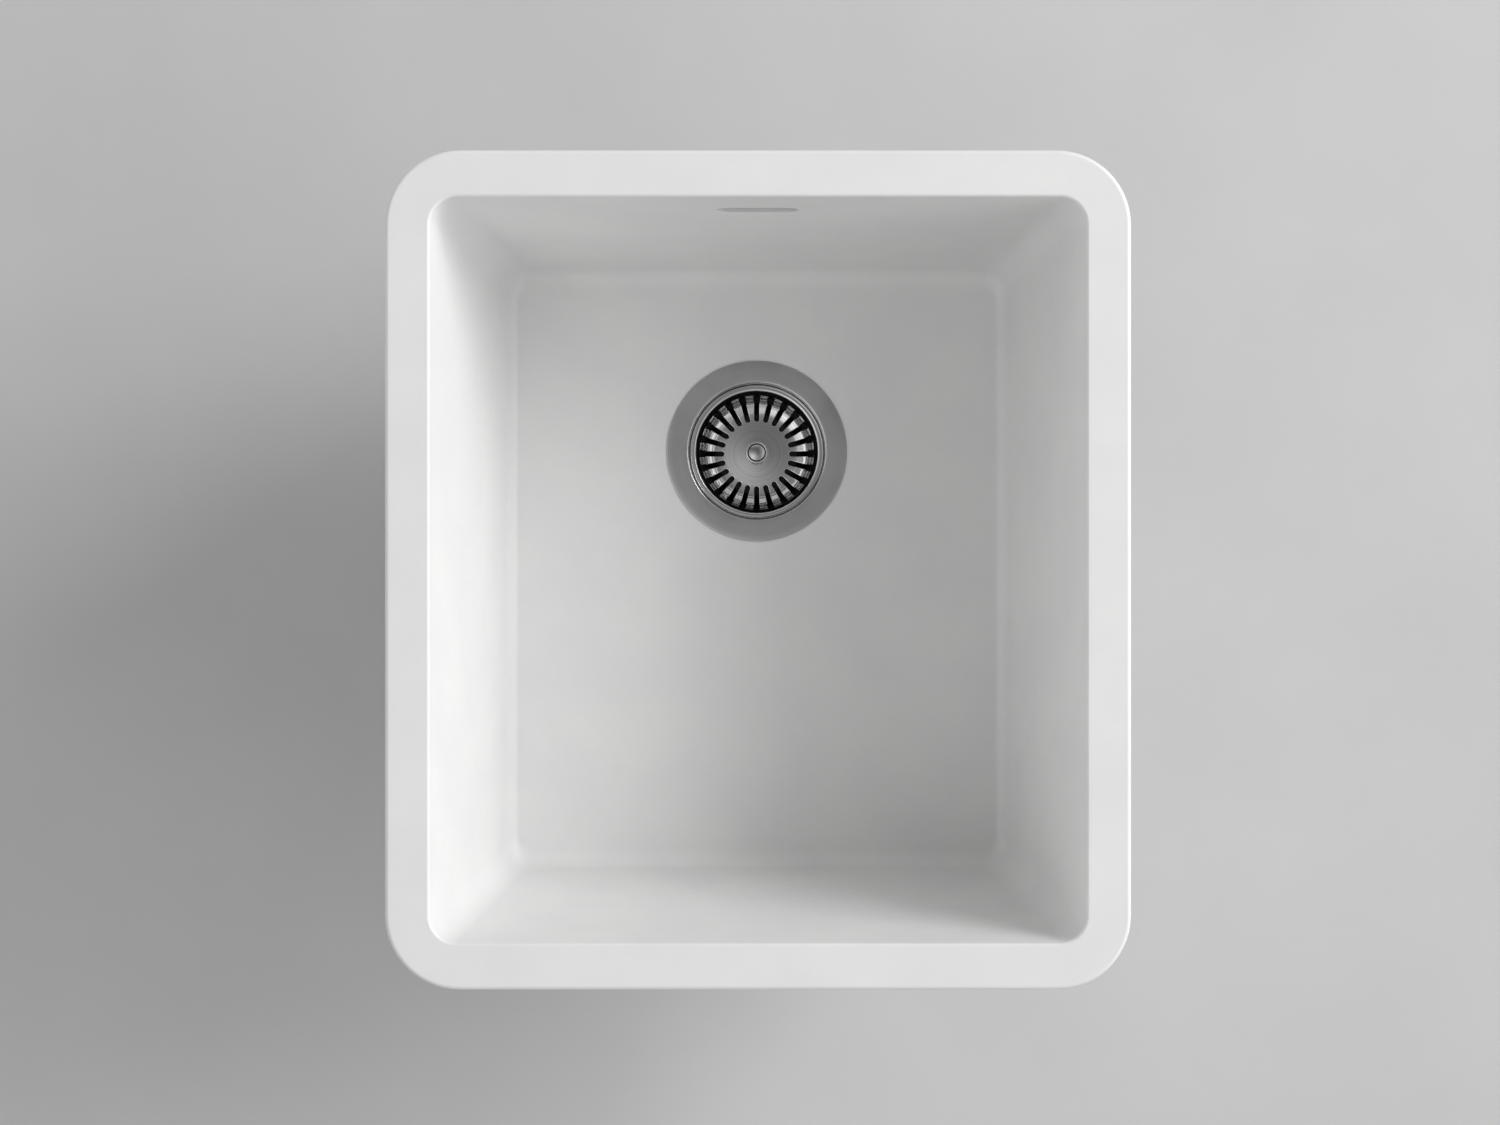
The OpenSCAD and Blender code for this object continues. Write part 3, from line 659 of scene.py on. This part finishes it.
def slot_cutter():
    """Starts wider and 4 mm before the wall, rounds in over the ease and goes through the pad."""
    def ring(depth, grow):
        return [(x, end_at(SLOT_Z + z) + depth, SLOT_Z + z) for x, z in stadium(grow)]

    first, before = math.radians(20), 4
    wide = SLOT_EASE * (1 - math.sin(first)) + before * math.cos(first) / math.sin(first) * 0.5
    rings = [ring(-before, wide)]
    rings += [ring(SLOT_EASE * deep, SLOT_EASE * out) for out, deep in quarter(20, 90, 7)]
    rings.append([(x, PAD_Y + 6, SLOT_Z + z) for x, z in stadium()])
    points, faces = with_ends(*skin(rings), len(rings[0]))
    return make_piece("slot_cutter", in_metres(points), faces)


def rear_pad():
    """A plate on the wall, square at its top corners and round at its lower ones."""
    def ring(y, shrink):
        shape = [(PAD_X - shrink, PAD_TOP - shrink), (-PAD_X + shrink, PAD_TOP - shrink)]
        r = PAD_R - shrink
        for side, start in ((-1, 180), (1, 270)):
            for turn in steps(start, start + 90, 6):
                a = math.radians(turn)
                x = side * (PAD_X - PAD_R) + r * math.cos(a)
                shape.append((x, PAD_LOW + PAD_R + r * math.sin(a)))
        return [(x, y, z) for x, z in shape]

    rings = [ring(MOUTH_D, 0), ring(PAD_Y - 0.8, 0), ring(PAD_Y - 0.25, 0.25), ring(PAD_Y, 0.8)]
    points, faces = with_ends(*skin(rings), len(rings[0]))
    return make_piece("rear_pad", in_metres(points), faces)


print("the pad is", round(2 * PAD_X, 1), "mm wide and", round(PAD_TOP - PAD_LOW, 1), "mm high")

# %% Join the pad and cut the slot
def round_bar(name, start, end, radius, count=48):
    """A plain round cutter from one point to another."""
    way = (end - start).normalized()
    side = way.orthogonal().normalized()
    up = way.cross(side)
    rings = [[p + radius * (side * c + up * s) for c, s in circle(count)] for p in (start, end)]
    return make_piece(name, *with_ends(*skin(rings), count))


def carve(piece, tool, operation):
    """Joins or cuts with another shape and keeps the result as the piece's own mesh."""
    cut = piece.modifiers.new("carve", "BOOLEAN")
    cut.operation = operation
    cut.solver = "EXACT"
    cut.object = tool
    bpy.context.view_layer.update()
    ready = piece.evaluated_get(bpy.context.evaluated_depsgraph_get())
    mesh = bpy.data.meshes.new_from_object(ready)
    piece.modifiers.remove(cut)
    piece.data = mesh
    bpy.data.objects.remove(tool)


insert_low, insert_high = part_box("overflow_inserts")
insert_z = (insert_low.z + insert_high.z) / 2
insert_x = insert_high.x - (insert_high.z - insert_low.z) / 2
insert_r = (insert_high.z - insert_low.z) / 2 + 0.05 * MM
carve(bowl, rear_pad(), "UNION")
carve(bowl, slot_cutter(), "DIFFERENCE")
for x in (-insert_x, insert_x):
    bottom = Vector((x, insert_low.y, insert_z))
    past_the_face = Vector((x, insert_high.y + 10 * MM, insert_z))
    carve(bowl, round_bar("insert_hole", bottom, past_the_face, insert_r), "DIFFERENCE")
smooth(bowl.data)
even_shading(bowl, 40)
print("bowl after carving, faces:", len(bowl.data.polygons))

# %% [markdown]
# ## The pressed strainer cup
# The strainer is one disc of steel pressed into a flange, a mouth, a ledge for the basket and a cup.
# A sheet is best drawn as a single skin and then given its thickness, which keeps the metal equally
# thick around every bend. The six outlets in its bottom are faces that are left out of the skin.

# %% Give sheets their thickness
def at_waste(radius, z, angle):
    return WASTE + MM * Vector((radius * math.cos(angle), radius * math.sin(angle), z))


def give_thickness(piece, mm):
    """Thickens a sheet behind its drawn side."""
    sheet = piece.modifiers.new("sheet_thickness", "SOLIDIFY")
    sheet.thickness = mm * MM
    sheet.offset = -1
    sheet.use_even_offset = True
    sheet.use_quality_normals = True
    return sheet


def ease_edges(piece, mm):
    bevel = piece.modifiers.new("eased_edges", "BEVEL")
    bevel.width = mm * MM
    bevel.segments = 2
    bevel.limit_method = "ANGLE"
    bevel.angle_limit = math.radians(40)


def face_up(piece):
    """Makes the drawn side of a sheet its front, so that the thickness goes behind it."""
    work = bmesh.new()
    work.from_mesh(piece.data)
    total = sum(f.normal.z * f.calc_area() for f in work.faces)
    if total < 0:
        bmesh.ops.reverse_faces(work, faces=work.faces)
    work.to_mesh(piece.data)
    work.free()


def spun_skin(path, columns, closed=False):
    """A profile of (radius, height) points, spun about the waste's axis."""
    rings = [[at_waste(r, z, math.tau * i / columns) for i in range(columns)] for r, z in path]
    return skin(rings, closed)


print("sheet tools ready")

# %% Press the cup
FLANGE_R, MOUTH_OF_CUP_R, CUP_WALL_R, LEDGE_Z, CUP_FLOOR = 57, 42.7, 40.2, -11, -50
FLANGE_ROUND, SMALL_ROUND, CUP_CORNER, CUP_COLUMNS = 1.5, 0.6, 5, 180
cup_path = [(FLANGE_R, -2.7)] + arc((FLANGE_R - 1.1, -1.1), 1.1, 0, 90, 6) + [(52, 0), (48, 0)]
cup_path += arc((MOUTH_OF_CUP_R + FLANGE_ROUND, -FLANGE_ROUND), FLANGE_ROUND, 90, 180, 10)
cup_path += [(MOUTH_OF_CUP_R, LEDGE_Z + SMALL_ROUND)]
cup_path += arc((MOUTH_OF_CUP_R - SMALL_ROUND, LEDGE_Z + SMALL_ROUND), SMALL_ROUND, 0, -90, 3)
cup_path += [(CUP_WALL_R + SMALL_ROUND, LEDGE_Z)]
cup_path += arc((CUP_WALL_R + SMALL_ROUND, LEDGE_Z - SMALL_ROUND), SMALL_ROUND, 90, 180, 3)
cup_path += [(CUP_WALL_R, -30)]
cup_path += arc((CUP_WALL_R - CUP_CORNER, CUP_FLOOR + CUP_CORNER), CUP_CORNER, 0, -90, 10)
outlet_ring = len(cup_path) + 2
cup_path += [(r, CUP_FLOOR) for r in (30, 25, 21, 15, 9, 4.4)]


def is_outlet(ring, column):
    """Six outlets of 46 degrees, two rings of faces wide."""
    degrees = column * 360 // CUP_COLUMNS
    return ring in (outlet_ring, outlet_ring + 1) and degrees % 60 < 46


cup_points, cup_faces = spun_skin(cup_path, CUP_COLUMNS)
cup_faces = [f for n, f in enumerate(cup_faces) if not is_outlet(*divmod(n, CUP_COLUMNS))]
cup = make_piece(
    "strainer_flange_and_cup", cup_points, cup_faces, brushed,
    "brushed_flange", "sink", ["strainer_cup"],
)
face_up(cup)
cup.data.materials.append(satin.material)
cup.data.materials.append(painted_shade_steel.material)
# Below the ledge the cup takes the near-black steel, as painted shade deep inside the cup.
for polygon in cup.data.polygons:
    middle = polygon.center - WASTE
    if middle.z < (LEDGE_Z - 0.1) * MM:
        polygon.material_index = 2
    elif math.hypot(middle.x, middle.y) < (MOUTH_OF_CUP_R + 1.1) * MM:
        polygon.material_index = 1
give_thickness(cup, 1.0)
print("cup faces:", len(cup.data.polygons))

# %% [markdown]
# ## The bead of sealant
# A strainer is bedded in sealant, and what squeezes out is wiped to a small fillet between the
# flange and the casting. The floor climbs away from the waste in four planes, so the bead's outer
# edge follows the floor and its inner edge the level flange. It is one more skin of rings: the
# floor's own ring function gives the outer edge.

# %% Wipe the bead
def bead_rings():
    """Three rings across the bead's hollow face, then two behind it."""
    inner = [(x, y, 1000 * WASTE.z) for x, y, _ in floor_ring(56.75)]
    outer = floor_ring(57.55)
    middle = [
        (x, y, 0.45 * a[2] + 0.55 * b[2] - 0.12)
        for (x, y, _), a, b in zip(floor_ring(57.1), outer, inner)
    ]
    lift = [[(x, y, z + 0.03) for x, y, z in ring] for ring in (inner, middle, outer)]
    back = [[(x, y, z - 0.5) for x, y, z in floor_ring(57.5)], level_ring(56.9, 1000 * WASTE.z - 1.2)]
    return lift + back


bead_points, bead_faces = skin(bead_rings(), closed=True)
bead = make_piece("sealant_bead", in_metres(bead_points), bead_faces, cast, "solid_surface", "sink")
print("bead faces:", len(bead.data.polygons))

# %% [markdown]
# ## The basket
# This is the piece that takes the most skill: a pressed basket with 24 slots that run from its
# bottom up round the corner into its wall. It is drawn as 24 equal sectors of 15 degrees. Each
# sector's columns spread from slot edge to slot edge, and the edge's angle depends on the distance
# from the axis, so every slot keeps its 3.3 mm width all the way round the corner. At a slot's ends
# its half width follows a circle down to nothing, which gives round ends.

# %% Name the basket's sizes in millimetres
SLOTS, SLOT_HALF, SLOT_IN, SLOT_TOP = 24, 1.65, 20.9, -16.3
RIM_R, TOP_R, RIM_Z, DEEP = 42.5, 38.6, -9.0, -35.0
TAPER, CORNER, SWEEP, TURN, RAISED = 4.7, 4.0, 14.0, math.radians(29), 0.8
DOME_FOOT, DOME_EVEN, HUB_R = 23.4, 19.8, 7.5
RIDGE_R, RIDGE_HALF, RIDGE_H = 28.2, 0.55, 0.07
CORNER_X = TOP_R - TAPER - CORNER
CORNER_Z = DEEP + SWEEP - (SWEEP - CORNER) * math.cos(TURN)
TROUGH_R = CORNER_X - (SWEEP - CORNER) * math.sin(TURN)
LEAN = math.degrees(math.atan(TAPER / (RIM_Z - 1 - CORNER_Z)))
print("the bottom starts to curve up at a radius of", round(TROUGH_R, 2), "mm")

# %% Lay out the basket's profile and slots
def dome_height(r):
    """The domed middle falls evenly to the slots' inner ends and then rounds into the trough."""
    slope = RAISED / ((DOME_FOOT + DOME_EVEN) / 2 - HUB_R)
    if r <= DOME_EVEN:
        return DEEP + RAISED - slope * (r - HUB_R)
    if r < DOME_FOOT:
        return DEEP + slope * (DOME_FOOT - r) ** 2 / (2 * (DOME_FOOT - DOME_EVEN))
    return DEEP


SWEEP_RADII = (31.4, 31, 30.5, 30, 29.5, 29.1, 28.8, 28.6, 28.4, 28.2, 28)
SWEEP_RADII += (27.8, 27.6, 27.3, 26.8, 26.2, 25.6)


def sweep_height(r):
    """The bottom curves up to the corner, with one fine ridge pressed around it."""
    ridge = RIDGE_H * max(0.0, 1 - ((r - RIDGE_R) / RIDGE_HALF) ** 2) ** 2
    return DEEP + SWEEP - math.sqrt(SWEEP**2 - max(0.0, r - TROUGH_R) ** 2) + ridge


def basket_path():
    """Profile points (radius, height) from the rim's edge to the stem."""
    path = [(RIM_R, RIM_Z - 2)] + arc((RIM_R - 1.6, RIM_Z - 1.6), 1.6, 0, 90, 8)
    path += arc((TOP_R + 1, RIM_Z - 1), 1, 90, 180, 6)
    corner = arc((CORNER_X, CORNER_Z), CORNER, -LEAN, math.degrees(TURN) - 90, 8)
    foot_r, foot_z = corner[0]
    drops = (0, 0.08, 0.3, 0.65, 1.1, 1.65, 3.0, 5.5, 8.5, 11.5)
    heights = [-12, -14.2] + [SLOT_TOP - drop for drop in drops]
    path += [(TOP_R + (foot_r - TOP_R) * (z - RIM_Z + 1) / (foot_z - RIM_Z + 1), z) for z in heights]
    path += corner + [(r, sweep_height(r)) for r in SWEEP_RADII]
    radii = (24.3, DOME_FOOT, 22.55, 21.98, 21.55, 21.2, 20.98, SLOT_IN, 20.3, DOME_EVEN)
    radii += (17.9, 14.5, 11, 8.6, HUB_R)
    path += [(r, dome_height(r)) for r in radii]
    return path + [(6.9, DEEP + RAISED), (2.6, DEEP + RAISED)]


def half_slot(r, z):
    """Half the slot's width at a point of the profile; 0 where there is no slot."""
    if r < SLOT_IN - 1e-6 or z > SLOT_TOP + 1e-6:
        return 0.0
    past = max(0.0, SLOT_IN + SLOT_HALF - r, z - SLOT_TOP + SLOT_HALF)
    return math.sqrt(max(0.0, SLOT_HALF**2 - past**2))


profile = basket_path()
print("profile points:", len(profile), "from", profile[0], "to", profile[-1], "mm")

# %% Build the basket
BAR_COLUMNS = 6
basket_points, basket_faces = [], []
sector = math.tau / SLOTS
for s in range(SLOTS):
    base = len(basket_points)
    for r, z in profile:
        open_half = math.asin(half_slot(r, z) / r)
        for c in range(BAR_COLUMNS + 1):
            angle = s * sector + open_half + (sector - 2 * open_half) * c / BAR_COLUMNS
            basket_points.append(at_waste(r, z, angle))
    width = BAR_COLUMNS + 1
    for k in range(len(profile) - 1):
        for c in range(BAR_COLUMNS):
            a = base + k * width + c
            basket_faces.append((a, a + 1, a + width + 1, a + width))
basket = make_piece(
    "strainer_basket", basket_points, basket_faces, pressed, "bright_steel", "basket", ["basket"],
)
face_up(basket)
# The outside shows only when the basket is lifted, and is bright steel without the painted dark band.
basket.data.materials.append(turned.material)
give_thickness(basket, 0.8).material_offset = 1
ease_edges(basket, 0.14)
print("basket faces:", len(basket.data.polygons))

# %% [markdown]
# ## The knob and its cap
# The knob is turned from a bar: a foot, a waist to grip, a rounded head and a groove around a small
# domed disc. A turned piece is its profile spun about the waste's axis, with rounded corners drawn
# in the profile itself.

# %% Turn the knob and the cap
def turned_piece(name, outline, finish, node, closed=True):
    points, faces = spun_skin(outline, 96, closed)
    return make_piece(name, points, faces, finish, "bright_steel", "basket", [node])


FOOT_Z, KNOB_TOP, GROOVE_R, GROOVE_DEPTH = DEEP + RAISED, DEEP + 19, 5.8, 3
knob_outline = [(2.55, FOOT_Z), (5.8, FOOT_Z), (6, FOOT_Z + 0.2), (6, FOOT_Z + 0.85), (5.85, FOOT_Z + 1)]
knob_outline += arc((6.4, FOOT_Z + 3.6), 2.6, 262, 180, 10) + [(3.8, KNOB_TOP - 8)]
under_head = ((4.1, 7.4), (6.4, 3.9), (6.75, 3.3), (6.95, 2.9), (7, 2.5))
knob_outline += [(r, KNOB_TOP - down) for r, down in under_head]
knob_outline += arc((6.35, KNOB_TOP - 0.65), 0.65, 0, 90, 8)
knob_outline += arc((GROOVE_R + 0.25, KNOB_TOP - 0.25), 0.25, 90, 180, 4)
in_the_groove = ((GROOVE_R, GROOVE_DEPTH - 0.2), (GROOVE_R - 0.1, GROOVE_DEPTH), (2.55, GROOVE_DEPTH))
knob_outline += [(r, KNOB_TOP - down) for r, down in in_the_groove]
knob = turned_piece("basket_pull_knob", knob_outline, turned, "basket_knob")
even_shading(knob)
# Faces deep in the groove around the cap take the near-black steel, as painted shade in the groove.
knob.data.materials.append(painted_shade_steel.material)
for polygon in knob.data.polygons:
    middle = (polygon.center - WASTE) / MM
    in_groove = math.hypot(middle.x, middle.y) < GROOVE_R + 0.05
    low_enough = KNOB_TOP - GROOVE_DEPTH - 0.1 < middle.z < KNOB_TOP - 0.3
    polygon.material_index = 1 if in_groove and low_enough else 0

CAP_R, DOME = 5.15, 0.9
dome_r = (CAP_R**2 + DOME**2) / (2 * DOME)
half = math.degrees(math.asin((CAP_R - 0.12) / dome_r))
cap_foot = KNOB_TOP - GROOVE_DEPTH
cap_outline = [(0, cap_foot), (CAP_R, cap_foot), (CAP_R, KNOB_TOP - DOME - 0.12)]
cap_outline += arc((0, KNOB_TOP - dome_r), dome_r, 90 - half, 90, 12)
cap = turned_piece("knob_cap_disc", cap_outline, satin, "knob_cap", closed=False)
even_shading(cap)
print("knob faces:", len(knob.data.polygons), "cap faces:", len(cap.data.polygons))

# %% [markdown]
# ## The moulded waste body
# The body is a round moulding with twelve gussets under its flange, an outlet with a coarse pipe
# thread and a side inlet for the overflow. The thread is the one form here that isn't plain
# turning: on the outlet's outer wall, each point is drawn in by a wave that climbs one pitch per
# turn and fades out at both ends, so its crests stay at the outlet's true diameter.

# %% Mould the body with its thread
PITCH, THREAD = 2.309, 1.1
OUTLET_R, OUTLET_BORE, OUT_TOP, OUT_LOW = 23.9, 20.5, -88.1, -123.1
CHAMBER_R, BODY_R, NECK_R = 26, 45.5, 28.5


def thread_depth(z, angle):
    run = min(1.0, max(0.0, (OUT_TOP - 1.5 - z) / 2.5)) * min(1.0, max(0.0, (z - OUT_LOW - 0.6) / 1.6))
    wave = (z / PITCH + angle / math.tau) % 1.0
    rise = min(1.0, max(0.0, abs(2 * wave - 1) * 1.6 - 0.3))
    return THREAD * rise * run


def body_outline():
    """The body's profile: down its outside and the outlet, and back up its inside."""
    flange = [(43, -18), (54.4, -18), (54.8, -18.2), (55, -18.6), (55, -21.4), (54.8, -21.8), (54.4, -22)]
    wall = [(BODY_R + 0.8, -22)] + arc((BODY_R + 0.8, -22.8), 0.8, 90, 180, 3)
    wall += [(BODY_R, -54)] + arc((BODY_R - 2, -54.5), 2, 0, -90, 6)
    neck = [(NECK_R + 1, -56.5)] + arc((NECK_R + 1, -57.5), 1, 90, 180, 3)
    neck += [(NECK_R, -81.2), (NECK_R - 0.2, -82), (24.3, -87.6)]
    outlet = [(OUTLET_R, z) for z in steps(OUT_TOP, OUT_LOW, 91)[:-1]] + [(OUTLET_R, OUT_LOW + 0.5)]
    bore = [(OUTLET_R - 0.5, OUT_LOW), (OUTLET_BORE + 0.4, OUT_LOW), (OUTLET_BORE, OUT_LOW + 0.4)]
    bore += [(OUTLET_BORE, -86.1), (CHAMBER_R, -79.6), (CHAMBER_R, -53.8), (CHAMBER_R + 0.3, -53.5)]
    return flange + wall + neck + outlet + bore + [(42.7, -53.5), (43, -53.2)]


def mould_body(columns=120):
    angles = [math.tau * i / columns for i in range(columns)]
    rings = []
    for r, z in body_outline():
        if r == OUTLET_R:
            rings.append([at_waste(r - thread_depth(z, a), z, a) for a in angles])
        else:
            rings.append([at_waste(r, z, a) for a in angles])
    points, faces = skin(rings, closed=True)
    return make_piece(
        "waste_body_moulding", points, faces, plastic, "moulded_plastic", "sink", ["waste_body"],
    )


waste = mould_body()
print("waste body faces:", len(waste.data.polygons))

# %% [markdown]
# ## Inlet, gussets and spider
# The inlet is a tube that joins the body's chamber, so it is joined and bored with booleans. The
# gussets and the three-armed spider that holds the brass insert are plates with eased edges. They
# reach a little into the wall, as they do in the moulding, and become part of the same mesh.

# %% Add the inlet
INLET_Z, INLET_END, SOCKET = -69.05, 66.0, 14.0
INLET_R, INLET_BORE, SOCKET_R, INLET_START, AROUND = 11.55, 7.6, 9.05, 26.04, 64


def inlet_point(x, y, up):
    return WASTE + MM * Vector((x, y, INLET_Z + up))


def inlet_tube():
    """Starts just inside the chamber's wall and has a wider socket at its end for the pipe."""
    line = [(INLET_BORE, INLET_START), (INLET_R, INLET_START), (INLET_R, INLET_END - 0.4)]
    line += [(INLET_R - 0.4, INLET_END), (SOCKET_R + 0.3, INLET_END), (SOCKET_R, INLET_END - 0.3)]
    line += [(SOCKET_R, INLET_END - SOCKET), (INLET_BORE, INLET_END - SOCKET)]
    rings = [[inlet_point(r * c, y, r * s) for c, s in circle(AROUND)] for r, y in line]
    return make_piece("inlet_tube", *skin(rings, closed=True))


carve(waste, inlet_tube(), "UNION")
bore = round_bar("inlet_bore", inlet_point(0, 18, 0), inlet_point(0, 40, 0), INLET_BORE * MM, AROUND)
carve(waste, bore, "DIFFERENCE")
print("waste body with its inlet, faces:", len(waste.data.polygons))

# %% Add the gussets and the spider
def plate(outline, thickness):
    """A flat plate drawn in radius and height, in the waste's own millimetres, with eased edges."""
    ease = 0.25
    centre_r = sum(p[0] for p in outline) / len(outline)
    centre_z = sum(p[1] for p in outline) / len(outline)

    def ring(y, shrink):
        drawn_in = []
        for r, z in outline:
            outward = shrink if r < centre_r else -shrink
            upward = shrink if z < centre_z else -shrink
            drawn_in.append(Vector((r + outward, y, z + upward)))
        return drawn_in

    half = thickness / 2
    rings = [ring(-half, ease), ring(ease - half, 0), ring(half - ease, 0), ring(half, ease)]
    return with_ends(*skin(rings), len(outline))


def add_part(target, points, faces, turn=0.0):
    """Adds a closed part to a piece's mesh, turned about the waste's axis."""
    work = bmesh.new()
    work.from_mesh(target.data)
    spin = Matrix.Rotation(turn, 3, "Z")
    made = [work.verts.new(WASTE + MM * (spin @ Vector(p))) for p in points]
    new_faces = [work.faces.new([made[i] for i in f]) for f in faces]
    bmesh.ops.recalc_face_normals(work, faces=new_faces)
    for f in new_faces:
        f.smooth = True
    work.to_mesh(target.data)
    work.free()


gusset = plate([(44, -21), (54, -21), (54, -23), (45.5, -47.5), (44, -47.5)], 2)
for n in range(12):
    add_part(waste, *gusset, turn=math.radians(30 * n + 15))
arm = plate([(7, -57), (27, -57), (27, -69), (7, -69)], 2.5)
for a in (30, 150, 270):
    add_part(waste, *arm, turn=math.radians(a))
hub_line = [(6.05, -56), (7.7, -56), (8, -56.3), (8, -69.7), (7.7, -70), (6.05, -70)]
hub_rings = [[Vector((r * c, r * s, z)) for c, s in circle(48)] for r, z in hub_line]
add_part(waste, *skin(hub_rings, closed=True))
smooth(waste.data)
even_shading(waste, 38)
print("finished waste body, faces:", len(waste.data.polygons))

# %% [markdown]
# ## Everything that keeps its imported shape
# Gaskets, screws, the overflow box and the pipe already have their true shapes. They get their
# finish, and normals weighted by area, so that a flat face looks flat right up to a rounded edge.

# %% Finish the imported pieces
FINISHES = {
    "solid_surface": cast, "brushed_flange": brushed, "bright_steel": turned,
    "brass": brass, "black_rubber": rubber, "moulded_plastic": plastic,
}
replaced = {"bowl", "strainer_cup", "basket", "basket_knob", "knob_cap", "waste_body"}
for subpart in frame["record"]["subparts"]:
    name = subpart["node"]
    if name in replaced:
        continue
    piece = nodes[name]
    piece.data.materials.clear()
    piece.data.materials.append(FINISHES[subpart["material_slot"]].material)
    even = piece.modifiers.new("even_shading", "WEIGHTED_NORMAL")
    even.keep_sharp = True
print("packed pieces finished:", len(nodes) - len(replaced))

# %% [markdown]
# ## The floor
# The studio floor is a plain pale sheet, half a millimetre below the outlet. It is a light grey, so
# that the white rim still stands out from it. It is solid from above and clear from below, so the
# sink can be looked at from underneath too.

# %% Lay the floor
floor_mesh = bpy.data.meshes.new("studio_floor")
reach, floor_z = 12.0, cad_box[0].z - 0.5 * MM
corners = [(x * reach, y * reach, floor_z) for x, y in ((-1, -1), (1, -1), (1, 1), (-1, 1))]
floor_mesh.from_pydata(corners, [], [(0, 1, 2, 3)])
studio_floor = bpy.data.objects.new("studio_floor", floor_mesh)
put_in_scene(studio_floor)
paper = Finish("pale_paper_floor", (0.56, 0.56, 0.56), 0.8)
paper_cloud = paper.spread(paper.noise(6, 3), 0, 1)
paper.use(Base_Color=paper.tint(paper_cloud, (0.545, 0.545, 0.545), (0.57, 0.57, 0.57)))
clear = paper.add("ShaderNodeBsdfTransparent")
one_sided = paper.add("ShaderNodeMixShader")
paper.links.new(paper.add("ShaderNodeNewGeometry").outputs["Backfacing"], one_sided.inputs["Fac"])
paper.links.new(paper.shader.outputs["BSDF"], one_sided.inputs[1])
paper.links.new(clear.outputs["BSDF"], one_sided.inputs[2])
paper.links.new(one_sided.outputs["Shader"], paper.nodes["Material Output"].inputs["Surface"])
floor_mesh.materials.append(paper.material)
studio_floor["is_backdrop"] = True
print("floor height, mm:", round(1000 * floor_z, 1))

# %% [markdown]
# ## The last check
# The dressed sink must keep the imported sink's size.

# %% Compare the sizes and finish
shown_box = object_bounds()
apart = [abs(a - b) for p, q in zip(cad_box, shown_box) for a, b in zip(p, q)]
print("largest difference, mm:", round(1000 * max(apart), 3))
